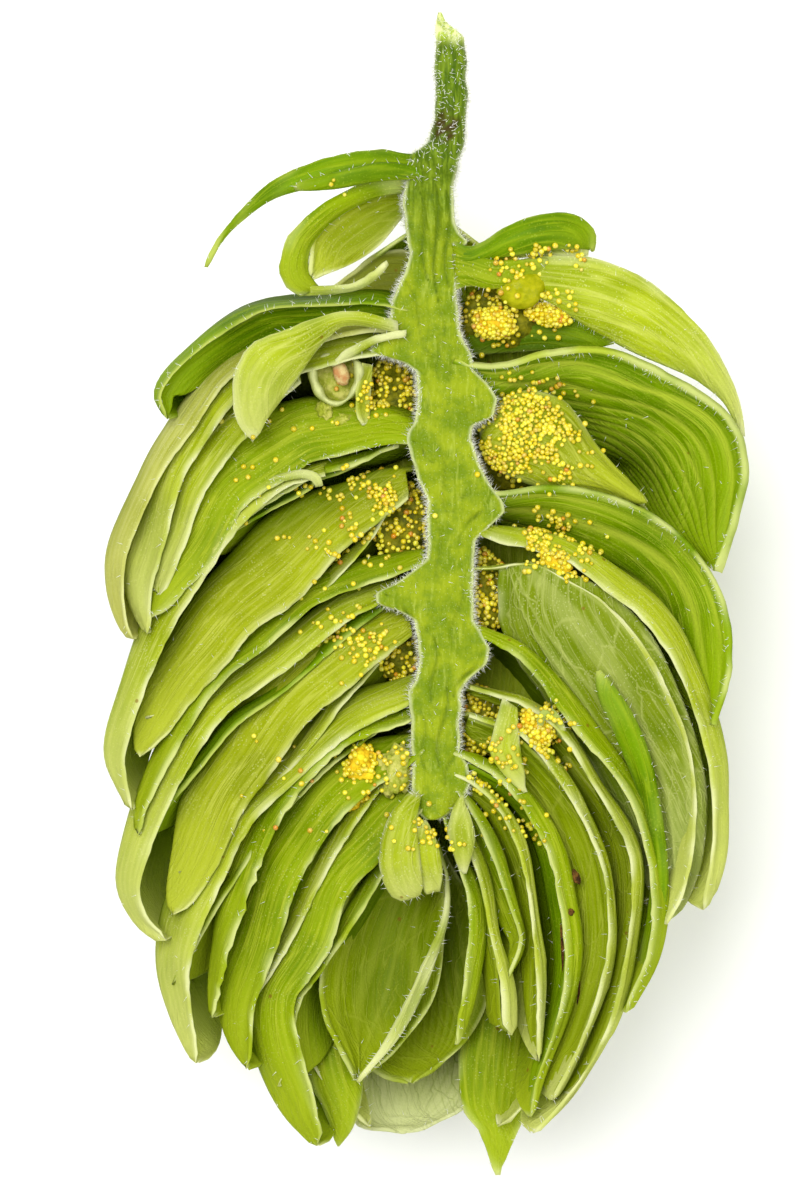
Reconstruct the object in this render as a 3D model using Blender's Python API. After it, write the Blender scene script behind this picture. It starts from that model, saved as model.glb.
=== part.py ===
"""A hop cone cut in half along its strig, lying on its round back. Metres, +Z up.

The cone's length runs along Y with the stalk at +Y, and the flat cut face looks up. A bract that the cut
passes through is a sheet that starts at its rim, a curve in the cut plane, and turns down around the
cone's axis. All sheets share one cross-section law, so rims that are nested give sheets that are nested.
"""
import math

import bmesh
import bpy
from mathutils import Vector

MM = 0.001

CUT_HEIGHT = 12.0          # cut face above the surface that the back rests on, mm
AXIS_X = 0.3               # cone axis, mm
SHEET = 0.22               # bract thickness, mm
BELLY_PRESS = 0.15         # how far the resting bellies are pressed flat, mm
STEPS_ALONG = 8            # faces along a bract
STEPS_ACROSS = 3           # faces across a bract
SQUARENESS = 2.4           # exponent of the cone's cross-section, 2 is a circle
FLARE_TURN = 0.15          # turn, in radians, over which a cut rim splays outward
INNER_FLARE = (8.0, 0.30)  # radius in mm, share by which sheets splay up to there
OUTER_FLARE = (12.5, 0.14)
BACK_LIFT = 1.25           # how far a back bract's foot lies inside its tip, mm
SIDE_ROOM = 0.6            # clear of the back bracts' feet, mm
OUTER_TURN = 24            # most turn of the sheets that reach the outside, degrees

# Outline of the closed cone: height along the axis and radius, mm
CONE = [(15.5, 1.6), (13.5, 5.0), (11.0, 8.8), (9.0, 10.8), (6.0, 12.3), (2.0, 12.8), (-3.0, 12.7),
        (-7.0, 12.4), (-10.0, 12.0), (-13.0, 11.0), (-16.0, 9.4), (-19.0, 7.0), (-22.0, 4.0)]

# Strig and stalk: height along the axis, centre, half width, share of the half-round that is left flat
STRIG = [(-9.6, 0.1, 0.45, 1.0), (-8.4, 0.4, 1.05, 1.0), (-5.6, 0.3, 1.25, 1.0), (-3.4, 0.8, 1.45, 1.0),
         (-1.0, 0.3, 1.25, 1.0), (1.6, 0.75, 1.55, 1.0), (4.6, 0.6, 1.35, 1.0), (6.4, 0.6, 1.5, 1.0),
         (9.0, 0.55, 1.35, 1.0), (11.4, 0.1, 1.3, 1.0), (14.4, 0.3, 0.95, 1.0), (16.6, 0.35, 0.8, 0.6),
         (17.6, 0.55, 0.75, 0.25), (18.8, 0.9, 0.62, 0.0), (21.0, 1.0, 0.62, 0.0), (22.4, 0.95, 0.6, 0.0),
         (23.35, 0.7, 0.22, 0.0)]

# Bracts cut by the plane: name, rim from foot to tip in mm, widest in mm, most turn in degrees, colour
LEFT = [
    ("bract_left_top", [(-0.9, 17.2), (-2.0, 17.8), (-4.0, 17.6), (-5.8, 16.8), (-8.0, 14.9), (-8.8, 13.2)],
     1.2, 30, "deep"),
    ("bract_left_rolled", [(-1.3, 16.4), (-2.6, 16.4), (-4.2, 15.7), (-5.4, 14.5), (-5.7, 13.4), (-5.3, 12.4)],
     2.2, 50, "fresh"),
    ("bract_left_shoulder", [(-1.8, 11.7), (-3.8, 11.9), (-6.2, 12.0), (-8.2, 10.8), (-10.1, 9.3),
                             (-10.9, 8.1), (-10.8, 7.2)], 5.0, 60, "deep"),
    ("bract_left_outer_1", [(-1.9, 10.9), (-4.0, 10.8), (-6.7, 10.1), (-8.7, 9.1), (-10.2, 7.1), (-11.5, 4.9),
                            (-12.8, 2.2), (-12.9, 1.0), (-12.4, -1.2), (-11.9, -1.7)], 5.0, 60, "pale"),
    ("bract_left_outer_2", [(-2.0, 10.2), (-4.2, 10.1), (-6.6, 9.4), (-8.6, 8.1), (-10.1, 6.2), (-11.0, 4.3),
                            (-11.9, 1.6), (-11.9, 0.2), (-11.7, -1.2)], 5.0, 60, "fresh"),
    ("bract_left_outer_3", [(-5.2, 8.9), (-6.6, 8.1), (-8.6, 6.5), (-9.9, 4.8), (-10.7, 2.9), (-11.2, 1.5),
                            (-11.2, 0.2)], 5.0, 60, "pale"),
    ("bract_left_hairy", [(-1.4, 6.5), (-3.2, 6.9), (-5.0, 6.8), (-6.9, 6.0), (-8.5, 4.6), (-9.8, 2.7),
                          (-10.5, 1.4), (-10.9, 0.3)], 6.0, 70, "fresh"),
    ("bract_left_curled", [(-1.5, 5.4), (-3.6, 5.2), (-5.8, 4.4), (-8.3, 2.5), (-10.3, 0.0), (-11.3, -2.6),
                           (-12.1, -5.9), (-12.2, -7.4), (-11.8, -8.6)], 5.0, 70, "fresh"),
    ("bracteole_left_dusted", [(-1.6, 4.4), (-3.6, 4.1), (-5.2, 3.3), (-7.0, 2.0), (-9.3, -0.4), (-11.0, -3.7),
                               (-11.5, -5.4), (-11.4, -6.9)], 5.0, 70, "pale"),
    ("bract_left_thin", [(-1.3, 1.1), (-2.8, 0.8), (-4.6, 0.1), (-6.5, -1.4), (-8.3, -3.0), (-10.1, -5.5),
                         (-11.2, -8.2), (-11.4, -9.6)], 5.5, 70, "fresh"),
    ("bract_left_broad", [(-1.5, 0.0), (-3.4, -0.5), (-5.2, -1.5), (-7.2, -3.0), (-8.9, -4.7), (-10.2, -7.0),
                          (-11.2, -9.8), (-11.5, -11.3), (-11.2, -12.6), (-10.4, -13.5)], 5.5, 70, "pale"),
    ("bracteole_left_low", [(-1.5, -1.0), (-3.4, -1.6), (-5.2, -2.7), (-6.8, -4.0), (-8.2, -5.8),
                            (-9.1, -7.9), (-9.9, -10.6), (-10.1, -12.6)], 5.5, 70, "pale"),
    ("bract_left_low_1", [(-1.3, -3.6), (-2.8, -4.2), (-5.2, -5.6), (-7.2, -7.6), (-8.6, -9.8), (-9.6, -12.2),
                          (-10.0, -14.6), (-9.8, -16.6), (-9.2, -18.4)], 5.5, 70, "fresh"),
    ("bract_left_low_2", [(-1.4, -4.8), (-3.2, -5.4), (-4.8, -6.6), (-6.2, -8.4), (-7.3, -10.6),
                          (-8.0, -12.8), (-8.5, -14.8), (-8.6, -16.7)], 5.5, 75, "fresh"),
    ("bract_left_low_3", [(-1.2, -5.9), (-3.0, -6.7), (-4.8, -8.2), (-6.2, -10.2), (-7.1, -12.4), (-7.6, -14.6),
                          (-7.6, -16.6), (-7.0, -18.4)], 5.5, 75, "fresh"),
    ("bract_left_tip_1", [(-1.0, -7.6), (-2.2, -8.5), (-3.8, -9.9), (-5.2, -11.6), (-6.2, -13.6), (-6.7, -15.8),
                          (-6.2, -18.2), (-4.9, -21.0), (-4.2, -21.8)], 5.5, 80, "fresh"),
]
RIGHT = [
    ("bract_right_top", [(2.2, 14.1), (3.2, 14.7), (4.2, 15.2), (5.2, 15.3), (6.2, 15.0), (6.7, 14.2)],
     1.2, 35, "deep"),
    ("bract_right_pointed", [(2.6, 12.6), (4.6, 13.2), (6.4, 13.4), (8.3, 12.8), (9.5, 12.0), (10.9, 10.4),
                             (12.3, 8.0), (12.8, 6.4)], 3.0, 45, "pale"),
    ("bract_right_big", [(2.4, 9.3), (3.6, 9.3), (5.1, 9.6), (7.3, 9.8), (10.0, 8.5), (12.1, 7.1), (12.9, 5.2),
                         (12.5, 3.4), (11.8, 2.0)], 7.0, 75, "fresh"),
    ("bract_right_ribbed", [(2.8, 4.2), (4.7, 4.3), (6.3, 4.1), (8.4, 3.3), (10.1, 2.1), (11.6, 0.0),
                            (12.1, -2.6), (11.7, -5.0)], 6.0, 75, "fresh"),
    ("bracteole_right_dusted", [(2.9, 2.5), (4.4, 2.5), (5.9, 2.0), (7.6, 0.8), (9.1, -0.5), (10.3, -2.2),
                                (11.2, -4.2), (11.8, -7.4), (11.8, -9.4), (11.1, -12.2)], 5.5, 75, "pale"),
    ("bracteole_right_veined", [(2.6, 1.0), (4.4, 1.3), (5.9, 0.5), (7.4, -0.6), (9.1, -2.8), (10.2, -5.2),
                                (10.7, -8.2), (10.3, -11.6), (9.7, -13.2)], 5.5, 75, "pale"),
    ("bract_right_strip", [(2.4, -1.4), (3.6, -2.0), (5.0, -3.0), (6.6, -4.6), (8.0, -6.8), (9.1, -9.4),
                           (9.5, -11.6), (9.2, -14.4), (8.0, -16.6)], 5.0, 75, "fresh"),
    ("bract_right_low_1", [(2.6, -3.6), (4.0, -3.9), (5.6, -5.0), (7.0, -7.2), (8.2, -9.6), (8.5, -12.0),
                           (8.3, -14.2), (7.5, -17.0), (6.4, -19.1), (4.8, -21.2)], 5.0, 75, "fresh"),
    ("bract_right_low_2", [(2.4, -4.7), (3.9, -5.2), (5.3, -6.6), (6.5, -8.8), (7.3, -11.2), (7.5, -13.8),
                           (7.1, -16.0), (6.3, -18.1), (5.1, -20.2)], 4.5, 75, "deep"),
    ("fan_bract_1", [(2.0, -6.2), (3.4, -6.9), (4.6, -8.2), (5.7, -10.3), (6.3, -12.8), (6.3, -15.0),
                     (5.7, -16.9), (4.9, -18.6), (4.4, -19.6)], 3.2, 60, "pale"),
    ("fan_bract_2", [(2.0, -7.4), (3.2, -8.4), (4.3, -10.4), (5.0, -13.0), (5.1, -15.4), (4.8, -17.8)],
     2.4, 50, "fresh"),
    ("fan_bract_3", [(1.9, -8.4), (2.9, -9.9), (3.8, -11.8), (4.1, -13.6), (3.7, -15.0)], 1.8, 45, "fresh"),
    ("fan_bract_4", [(1.6, -9.6), (2.4, -11.0), (2.9, -13.2), (2.9, -15.2), (2.9, -17.2)], 1.2, 45, "pale"),
    ("fan_bract_5", [(0.9, -10.0), (1.3, -11.6), (1.8, -13.6), (1.9, -15.6), (1.3, -17.6)], 0.9, 40, "pale"),
]

# Bracts seen whole: name, one margin and the other from foot to tip in mm (z from the cut face), sag, colour
WHOLE = [
    ("bract_left_folded", [(-1.9, 10.9, 0.7), (-4.2, 11.4, 1.0), (-6.4, 10.6, 1.2), (-7.4, 8.9, 1.2),
                           (-7.3, 7.0, 1.2), (-6.7, 6.2, 1.2)],
     [(-1.9, 10.4, 0.7), (-3.6, 10.7, 1.0), (-4.6, 9.8, 1.2), (-5.3, 8.6, 1.2), (-6.1, 7.2, 1.2),
      (-6.6, 6.2, 1.2)], 0.0, "pale"),
    ("bract_tip_cup", [(-1.6, -9.8, -1.2), (-3.1, -11.3, -1.2), (-4.1, -14.3, -1.2), (-4.0, -17.0, -1.2),
                       (-3.0, -19.2, -1.4)],
     [(-0.6, -9.8, -1.4), (0.3, -11.0, -1.8), (0.6, -13.8, -2.0), (-0.6, -17.2, -1.6), (-2.7, -19.2, -1.4)],
     1.6, "pale"),
    ("bract_tip_behind", [(-1.4, -11.4, -4.0), (-2.4, -13.8, -4.0), (-2.2, -17.0, -3.5), (-0.9, -19.4, -2.8)],
     [(0.4, -11.4, -3.8), (2.0, -13.8, -4.0), (1.6, -17.0, -3.5), (-0.5, -19.4, -2.8)], 0.5, "fresh"),
    ("bract_tip_veined", [(-1.8, -13.4, -5.8), (-2.6, -15.8, -5.4), (-2.6, -18.8, -4.4), (-1.0, -21.3, -3.6)],
     [(1.6, -13.4, -5.8), (2.2, -15.8, -5.4), (2.0, -18.6, -4.4), (0.4, -21.3, -3.6)], 0.6, "pale"),
    ("bract_tip_pointed", [(2.4, -15.0, -3.7), (2.0, -18.4, -3.5), (2.2, -21.0, -3.2), (2.7, -23.3, -3.0)],
     [(4.2, -15.0, -3.7), (4.3, -18.2, -3.5), (3.9, -21.0, -3.2), (3.0, -23.3, -3.0)], 0.4, "fresh"),
    ("scale_strig_end", [(-0.6, -8.9, 0.5), (-1.7, -9.8, 0.6), (-1.8, -11.4, 0.6), (-0.9, -12.0, 0.5)],
     [(-0.5, -8.9, 0.5), (0.3, -9.8, 0.6), (0.3, -11.2, 0.6), (-0.7, -12.0, 0.5)], 0.0, "fresh"),
]

# Solid little bodies: name, centre and half sizes in mm (z from the cut face), colour
BODIES = [
    ("seed_half", (-3.6, 8.8, -0.6), (0.95, 0.9, 0.6), "kernel"),
    ("bracteole_right_seed", (4.6, 6.3, -1.9), (2.5, 1.9, 1.3), "lupulin"),
]

# Round back: height of foot and tip in mm, azimuths in degrees (90 is straight down), half width in mm
BACK = [
    (15.0, 6.0, (62, 118), 3.4),
    (11.6, 1.4, (48, 90, 132), 4.3),
    (6.6, -3.8, (66, 114), 4.5),
    (1.8, -8.6, (46, 90, 134), 4.6),
    (-3.2, -12.8, (66, 114), 4.3),
    (-8.0, -16.6, (48, 90, 132), 3.4),
    (-12.4, -20.8, (66, 114), 2.9),
]

COLOURS = {"stem": (0.36, 0.55, 0.11), "deep": (0.22, 0.42, 0.05), "fresh": (0.40, 0.62, 0.09),
           "pale": (0.58, 0.72, 0.24), "kernel": (0.45, 0.38, 0.14), "lupulin": (0.80, 0.62, 0.10)}


def between(value, table):
    """Straight-line reading of a table of (key, value) pairs, whatever the order of its keys."""
    rows = sorted(table)
    if value <= rows[0][0]:
        return rows[0][1]
    for (low, a), (high, b) in zip(rows, rows[1:]):
        if value <= high:
            return a + (b - a) * (value - low) / (high - low)
    return rows[-1][1]


def smooth_path(points, steps):
    """Evenly spaced points on a smooth curve through the given ones."""
    spots = [Vector(p) for p in points]
    ends = [spots[0] * 2 - spots[1]] + spots + [spots[-1] * 2 - spots[-2]]
    fine = []
    for a, b, c, d in zip(ends, ends[1:], ends[2:], ends[3:]):
        for i in range(12):
            t = i / 12
            fine.append(((b * 2) + (c - a) * t + (a * 2 - b * 5 + c * 4 - d) * t * t
                         + (b * 3 - a - c * 3 + d) * t ** 3) * 0.5)
    fine.append(spots[-1])
    lengths = [0.0]
    for a, b in zip(fine, fine[1:]):
        lengths.append(lengths[-1] + (b - a).length)
    path = []
    for i in range(steps + 1):
        goal = lengths[-1] * i / steps
        k = max(j for j, length in enumerate(lengths[:-1]) if length <= goal)
        path.append(fine[k].lerp(fine[k + 1], (goal - lengths[k]) / (lengths[k + 1] - lengths[k])))
    return path


def cone_radius(y):
    return between(y, CONE)


def depth_share(y):
    """Flattens the back where it lies, so that its lowest line is level."""
    return min(1.0, CUT_HEIGHT / (cone_radius(y) - BELLY_PRESS))


def wrapped(radius, y, turn):
    """A point that many radians down from the left rim, at that distance from the cone's axis."""
    power = 2 / SQUARENESS
    cosine = math.cos(turn)
    sine = max(math.sin(turn), 0.0)
    splay = between(radius, [INNER_FLARE, OUTER_FLARE]) * (1 - math.exp(-sine / FLARE_TURN))
    across = radius * math.copysign(abs(cosine) ** power, cosine) * (1 - splay)
    height = CUT_HEIGHT - radius * sine ** power * depth_share(y)
    return Vector((AXIS_X - across, y, max(height, SHEET / 2)))


def leaf_width(along):
    """A bract's width along its length, 1 at its widest."""
    if along < 0.35:
        return 0.45 + 0.55 * math.sin(along / 0.35 * math.pi / 2)
    return max(1 - ((along - 0.35) / 0.65) ** 2.2, 0.0) ** 0.5


def material(name):
    if name in bpy.data.materials:
        return bpy.data.materials[name]
    made = bpy.data.materials.new(name)
    made.use_nodes = True
    surface = made.node_tree.nodes["Principled BSDF"]
    surface.inputs["Base Color"].default_value = (*COLOURS[name], 1)
    surface.inputs["Roughness"].default_value = 0.5
    surface.inputs["Metallic"].default_value = 0.0
    return made


def add_object(name, mesh, colour):
    mesh.materials.append(material(colour))
    mesh.shade_smooth()
    mesh.set_sharp_from_angle(angle=math.radians(50))
    part = bpy.data.objects.new(name, mesh)
    bpy.context.scene.collection.objects.link(part)
    return part


def add_sheet(name, rows, colour):
    """A bract from a grid of points, one row for each step from its foot to its tip."""
    shape = bmesh.new()
    grid = [[shape.verts.new(point * MM) for point in row] for row in rows]
    for low, high in zip(grid, grid[1:]):
        for a, b, c, d in zip(low, low[1:], high[1:], high):
            shape.faces.new((a, b, c, d))
    mesh = bpy.data.meshes.new(name)
    shape.to_mesh(mesh)
    shape.free()
    part = add_object(name, mesh, colour)
    solid = part.modifiers.new("thickness", "SOLIDIFY")
    solid.thickness = SHEET * MM
    solid.offset = 0.0
    return part


def cut_bract(name, rim, width, most_turn, colour, side):
    """A bract cut along its length: a rim in the cut plane and a sheet that turns down from it."""
    rows = []
    for i, spot in enumerate(smooth_path([(x, y, 0) for x, y in rim], STEPS_ALONG)):
        radius = side * (spot.x - AXIS_X)
        outer = radius > cone_radius(spot.y) - BACK_LIFT - SIDE_ROOM
        most = math.radians(min(most_turn, OUTER_TURN) if outer else most_turn)
        turn = min(most, max(width * leaf_width(i / STEPS_ALONG), 0.35) / radius)
        row = [wrapped(radius, spot.y, turn * j / STEPS_ACROSS) for j in range(STEPS_ACROSS + 1)]
        if side > 0:
            row = [Vector((2 * AXIS_X - p.x, p.y, p.z)) for p in row]
        rows.append(row)
    return add_sheet(name, rows, colour)


def whole_bract(name, left, right, sag, colour):
    """A bract between two margins, hollowed by its sag."""
    rows = []
    for a, b in zip(smooth_path(left, STEPS_ALONG), smooth_path(right, STEPS_ALONG)):
        row = []
        for j in range(STEPS_ACROSS + 1):
            across = j / STEPS_ACROSS
            point = a.lerp(b, across)
            point.z += CUT_HEIGHT - sag * 4 * across * (1 - across)
            row.append(point)
        rows.append(row)
    return add_sheet(name, rows, colour)


def back_bract(name, foot, tip, azimuth, half_width, room):
    """A whole bract of the round back, its tip outside the bract below it, within its room to each side."""
    rows = []
    for i in range(STEPS_ALONG + 1):
        along = i / STEPS_ALONG
        y = foot + (tip - foot) * along
        radius = cone_radius(y) - BACK_LIFT * (1 - min(1.0, along / 0.75)) - 0.25 * max(0, along - 0.75)
        half = min(max(half_width * leaf_width(along), 0.2) / radius, room)
        middle = math.radians(azimuth)
        across = STEPS_ACROSS + 1
        rows.append([wrapped(radius, y, middle + half * (2 * j / across - 1)) for j in range(across + 1)])
    return add_sheet(name, rows, "fresh")


def strig():
    """The zigzag axis, half round under the cut face, running into the full round stalk."""
    sides = 10
    shape = bmesh.new()
    rings = []
    for y, middle, half, flat in STRIG:
        ring = []
        for i in range(sides):
            angle = 2 * math.pi * (i + 0.5) / sides
            up = math.sin(angle)
            lift = up * (1 - flat) if up > 0 else up
            ring.append(shape.verts.new(Vector((middle + half * math.cos(angle), y,
                                                CUT_HEIGHT - 0.55 * (1 - flat) + half * lift)) * MM))
        rings.append(ring)
    for low, high in zip(rings, rings[1:]):
        for i in range(sides):
            j = (i + 1) % sides
            shape.faces.new((low[i], low[j], high[j], high[i]))
    shape.faces.new(rings[0])
    shape.faces.new(rings[-1])
    bmesh.ops.recalc_face_normals(shape, faces=shape.faces)
    mesh = bpy.data.meshes.new("strig")
    shape.to_mesh(mesh)
    shape.free()
    return add_object("strig", mesh, "stem")


def little_body(name, centre, half_sizes, colour):
    shape = bmesh.new()
    bmesh.ops.create_uvsphere(shape, u_segments=10, v_segments=6, radius=1)
    for v in shape.verts:
        x, y, z = (c + s * p for c, s, p in zip(centre, half_sizes, v.co))
        v.co = Vector((x, y, z + CUT_HEIGHT)) * MM
    mesh = bpy.data.meshes.new(name)
    shape.to_mesh(mesh)
    shape.free()
    return add_object(name, mesh, colour)


def build():
    for old in list(bpy.data.objects):
        bpy.data.objects.remove(old, do_unlink=True)
    strig()
    for side, bracts in ((-1, LEFT), (1, RIGHT)):
        for bract in bracts:
            cut_bract(*bract, side)
    for bract in WHOLE:
        whole_bract(*bract)
    for body in BODIES:
        little_body(*body)
    for level, (foot, tip, azimuths, half_width) in enumerate(BACK, 1):
        room = math.radians(0.46 * (azimuths[1] - azimuths[0]))
        for column, azimuth in enumerate(azimuths, 1):
            back_bract(f"back_bract_{level}_{column}", foot, tip, azimuth, half_width, room)


build()
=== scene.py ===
import math

import bmesh
import bpy
import numpy as np
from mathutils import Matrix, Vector


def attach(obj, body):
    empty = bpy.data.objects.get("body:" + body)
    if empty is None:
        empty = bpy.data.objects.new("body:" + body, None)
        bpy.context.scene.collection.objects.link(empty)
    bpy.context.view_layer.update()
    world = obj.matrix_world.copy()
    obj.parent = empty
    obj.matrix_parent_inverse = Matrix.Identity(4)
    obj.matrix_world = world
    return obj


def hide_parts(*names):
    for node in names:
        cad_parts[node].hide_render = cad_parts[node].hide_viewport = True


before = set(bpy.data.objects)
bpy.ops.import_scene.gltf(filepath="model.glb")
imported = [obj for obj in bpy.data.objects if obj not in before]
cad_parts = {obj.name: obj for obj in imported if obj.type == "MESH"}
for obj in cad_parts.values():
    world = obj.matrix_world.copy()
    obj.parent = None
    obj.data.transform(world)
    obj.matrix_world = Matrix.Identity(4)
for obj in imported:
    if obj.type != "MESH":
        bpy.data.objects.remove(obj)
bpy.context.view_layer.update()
mm = 0.001

# A halved hop cone on its back: stalk at +Y, cut face up. All lengths here are mm. Each bract is its own
# piece and stands for the plain sheet of its CAD node.

cone = {
    "cutHeight": 12.0,          # cut face above the floor
    "axisX": 0.3,
    "squareness": 2.4,          # cross-section exponent, 2 is a circle
    "splayTurn": 0.16,          # turn in radians over which a cut rim splays outward
    "innerSplay": (8.0, 0.34),  # radius and the share by which sheets splay
    "outerSplay": (12.5, 0.20),
    "press": 0.15,              # bellies pressed flat on the floor
    "outline": [(-22.0, 4.0), (-19.0, 7.0), (-16.0, 9.4), (-13.0, 11.0), (-10.0, 12.0), (-7.0, 12.4),
                (-3.0, 12.7), (2.0, 12.8), (6.0, 12.3), (9.0, 10.8), (11.0, 8.8), (13.5, 5.0), (15.5, 1.6)],
}
top = cone["cutHeight"]


# small helpers

def waves(points, size, seed):
    # smooth noise between about -1 and 1, whose bumps are about size mm across
    dice = np.random.default_rng(seed)
    total = np.zeros(points.shape[:-1])
    for _ in range(9):
        direction = dice.normal(size=points.shape[-1])
        direction *= (0.6 + 0.8 * dice.random()) * math.pi / size / np.linalg.norm(direction)
        total += np.sin(points @ direction + dice.random() * 2 * math.pi)
    return total / 3.2


def smoothPath(points, steps):
    # evenly spaced points on a smooth curve through the given ones
    spots = np.array(points, float)
    ends = np.vstack([2 * spots[0] - spots[1], spots, 2 * spots[-1] - spots[-2]])
    t = np.linspace(0, 1, 16, endpoint=False)[:, None]
    fine = []
    for a, b, c, d in zip(ends, ends[1:], ends[2:], ends[3:]):
        fine.append(0.5 * (2 * b + (c - a) * t + (2 * a - 5 * b + 4 * c - d) * t ** 2
                           + (3 * b - a - 3 * c + d) * t ** 3))
    fine = np.vstack(fine + [spots[-1:]])
    run = np.append(0, np.cumsum(np.linalg.norm(np.diff(fine, axis=0), axis=1)))
    goal = np.linspace(0, run[-1], steps + 1)
    return np.stack([np.interp(goal, run, fine[:, k]) for k in range(fine.shape[1])], axis=1), run[-1]


def coneRadius(y):
    heights, radii = zip(*cone["outline"])
    return np.interp(y, heights, radii)


def coneLaw(radius, y, turn):
    # where a point lies that is turned down from the left cut rim about the cone's axis
    power = 2 / cone["squareness"]
    cosine, sine = np.cos(turn), np.maximum(np.sin(turn), 0)
    (near, nearShare), (far, farShare) = cone["innerSplay"], cone["outerSplay"]
    share = np.interp(radius, [near, far], [nearShare, farShare])
    splay = share * (1 - np.exp(-sine / cone["splayTurn"]))
    across = radius * np.sign(cosine) * np.abs(cosine) ** power * (1 - splay)
    flatten = np.minimum(1, top / (coneRadius(y) - cone["press"]))
    height = top - radius * sine ** power * flatten
    return np.stack(np.broadcast_arrays(cone["axisX"] - across, y, height), axis=-1)


def organic(points, seed=5):
    # one gentle warp for the whole cone, so that neighbours move together
    moved = points.copy()
    moved[..., 0] += 0.16 * waves(points, 4.5, seed)
    moved[..., 1] += 0.14 * waves(points, 4.0, seed + 1)
    moved[..., 2] += 0.22 * waves(points, 5.0, seed + 2)
    return moved


def meshFrom(name, points, quads, uv=None, look=None):
    mesh = bpy.data.meshes.new(name)
    mesh.vertices.add(len(points))
    mesh.vertices.foreach_set("co", (points * mm).astype(np.float32).ravel())
    mesh.loops.add(quads.size)
    mesh.loops.foreach_set("vertex_index", quads.astype(np.int32).ravel())
    mesh.polygons.add(len(quads))
    mesh.polygons.foreach_set("loop_start", np.arange(0, quads.size, quads.shape[1], dtype=np.int32))
    mesh.update(calc_edges=True)
    mesh.shade_smooth()
    if uv is not None:
        layer = mesh.uv_layers.new(name="grain")
        layer.uv.foreach_set("vector", uv[quads.ravel()].astype(np.float32).ravel())
    if look is not None:
        layer = mesh.color_attributes.new("look", "FLOAT_COLOR", "POINT")
        layer.data.foreach_set("color", look.astype(np.float32).ravel())
    return mesh


def gridQuads(rows, columns, start=0):
    i, j = np.meshgrid(np.arange(rows - 1), np.arange(columns - 1), indexing="ij")
    a = (start + i * columns + j).ravel()
    return np.stack([a, a + columns, a + columns + 1, a + 1], axis=1)


def tubeQuads(rows, columns):
    # quads between rings that close on themselves, first ring first
    index = np.arange(rows * columns).reshape(rows, columns)
    after = np.roll(index, -1, axis=1)
    return np.stack([index[:-1], index[1:], after[1:], after[:-1]], axis=-1).reshape(-1, 4)


def closeMesh(mesh, weld=False):
    # fills the open ends and points every face outward
    shape = bmesh.new()
    shape.from_mesh(mesh)
    if weld:
        bmesh.ops.remove_doubles(shape, verts=shape.verts, dist=1e-6)
    bmesh.ops.holes_fill(shape, edges=[e for e in shape.edges if e.is_boundary], sides=0)
    bmesh.ops.triangulate(shape, faces=[f for f in shape.faces if len(f.verts) > 4])
    bmesh.ops.recalc_face_normals(shape, faces=shape.faces)
    shape.to_mesh(mesh)
    shape.free()
    mesh.shade_smooth()


def normalsOf(grid):
    normal = np.cross(np.gradient(grid, axis=0), np.gradient(grid, axis=1))
    return normal / np.maximum(np.linalg.norm(normal, axis=-1, keepdims=True), 1e-9)


def finishPiece(name, mesh, material, nodes=()):
    if material:
        mesh.materials.append(material)
    piece = bpy.data.objects.new(name, mesh)
    bpy.context.scene.collection.objects.link(piece)
    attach(piece, "root")
    if nodes:
        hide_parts(*nodes)


# materials

def linear(code):
    # an sRGB hex colour as linear RGBA
    values = [int(code[k:k + 2], 16) / 255 for k in (1, 3, 5)]
    return [v / 12.92 if v <= 0.04045 else ((v + 0.055) / 1.055) ** 2.4 for v in values] + [1.0]


def addNode(tree, kind, settings=None, links=None):
    # one node with its settings, and its inputs set to a value or linked to another node's socket
    node = tree.nodes.new(kind)
    for key, value in (settings or {}).items():
        setattr(node, key, value)
    for key, value in (links or {}).items():
        if isinstance(value, bpy.types.NodeSocket):
            tree.links.new(value, node.inputs[key])
        else:
            node.inputs[key].default_value = value
    return node


def newMaterial(name):
    material = bpy.data.materials.new(name)
    material.use_nodes = True
    tree = material.node_tree
    tree.nodes.clear()
    place = addNode(tree, "ShaderNodeTexCoord").outputs["Object"]
    return material, tree, place


def mixColour(tree, factor, a, b):
    return addNode(tree, "ShaderNodeMix", {"data_type": "RGBA"}, {0: factor, 6: a, 7: b}).outputs[2]


def ramp(tree, value, low, high, to=(0.0, 1.0)):
    links = {"Value": value, "From Min": low, "From Max": high, "To Min": to[0], "To Max": to[1]}
    return addNode(tree, "ShaderNodeMapRange", {"interpolation_type": "SMOOTHSTEP"}, links).outputs[0]


def tinted(tree, colour, mask, low, high, share, tone):
    # the colour with a tone over it, up to the given share as the mask goes from low to high
    return mixColour(tree, ramp(tree, mask, low, high, (0.0, share)), colour, tone)


def calc(tree, operation, *values):
    return addNode(tree, "ShaderNodeMath", {"operation": operation}, dict(enumerate(values))).outputs[0]


def stretch(tree, place, scale):
    return addNode(tree, "ShaderNodeMapping", None, {"Vector": place, "Scale": scale}).outputs[0]


def noise(tree, place, scale, detail=2.0, roughness=0.5, distortion=0.0):
    return addNode(tree, "ShaderNodeTexNoise", None, {
        "Vector": place, "Scale": scale, "Detail": detail, "Roughness": roughness,
        "Distortion": distortion}).outputs["Fac"]


def cellular(tree, place, scale):
    return addNode(tree, "ShaderNodeTexVoronoi", None, {"Vector": place, "Scale": scale}).outputs["Distance"]


def paintedLook(tree):
    # the four masks stored on a piece's points
    looks = addNode(tree, "ShaderNodeAttribute", {"attribute_name": "look"})
    parts = addNode(tree, "ShaderNodeSeparateColor", None, {"Color": looks.outputs["Color"]}).outputs
    return parts[0], parts[1], parts[2], looks.outputs["Alpha"]


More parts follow.
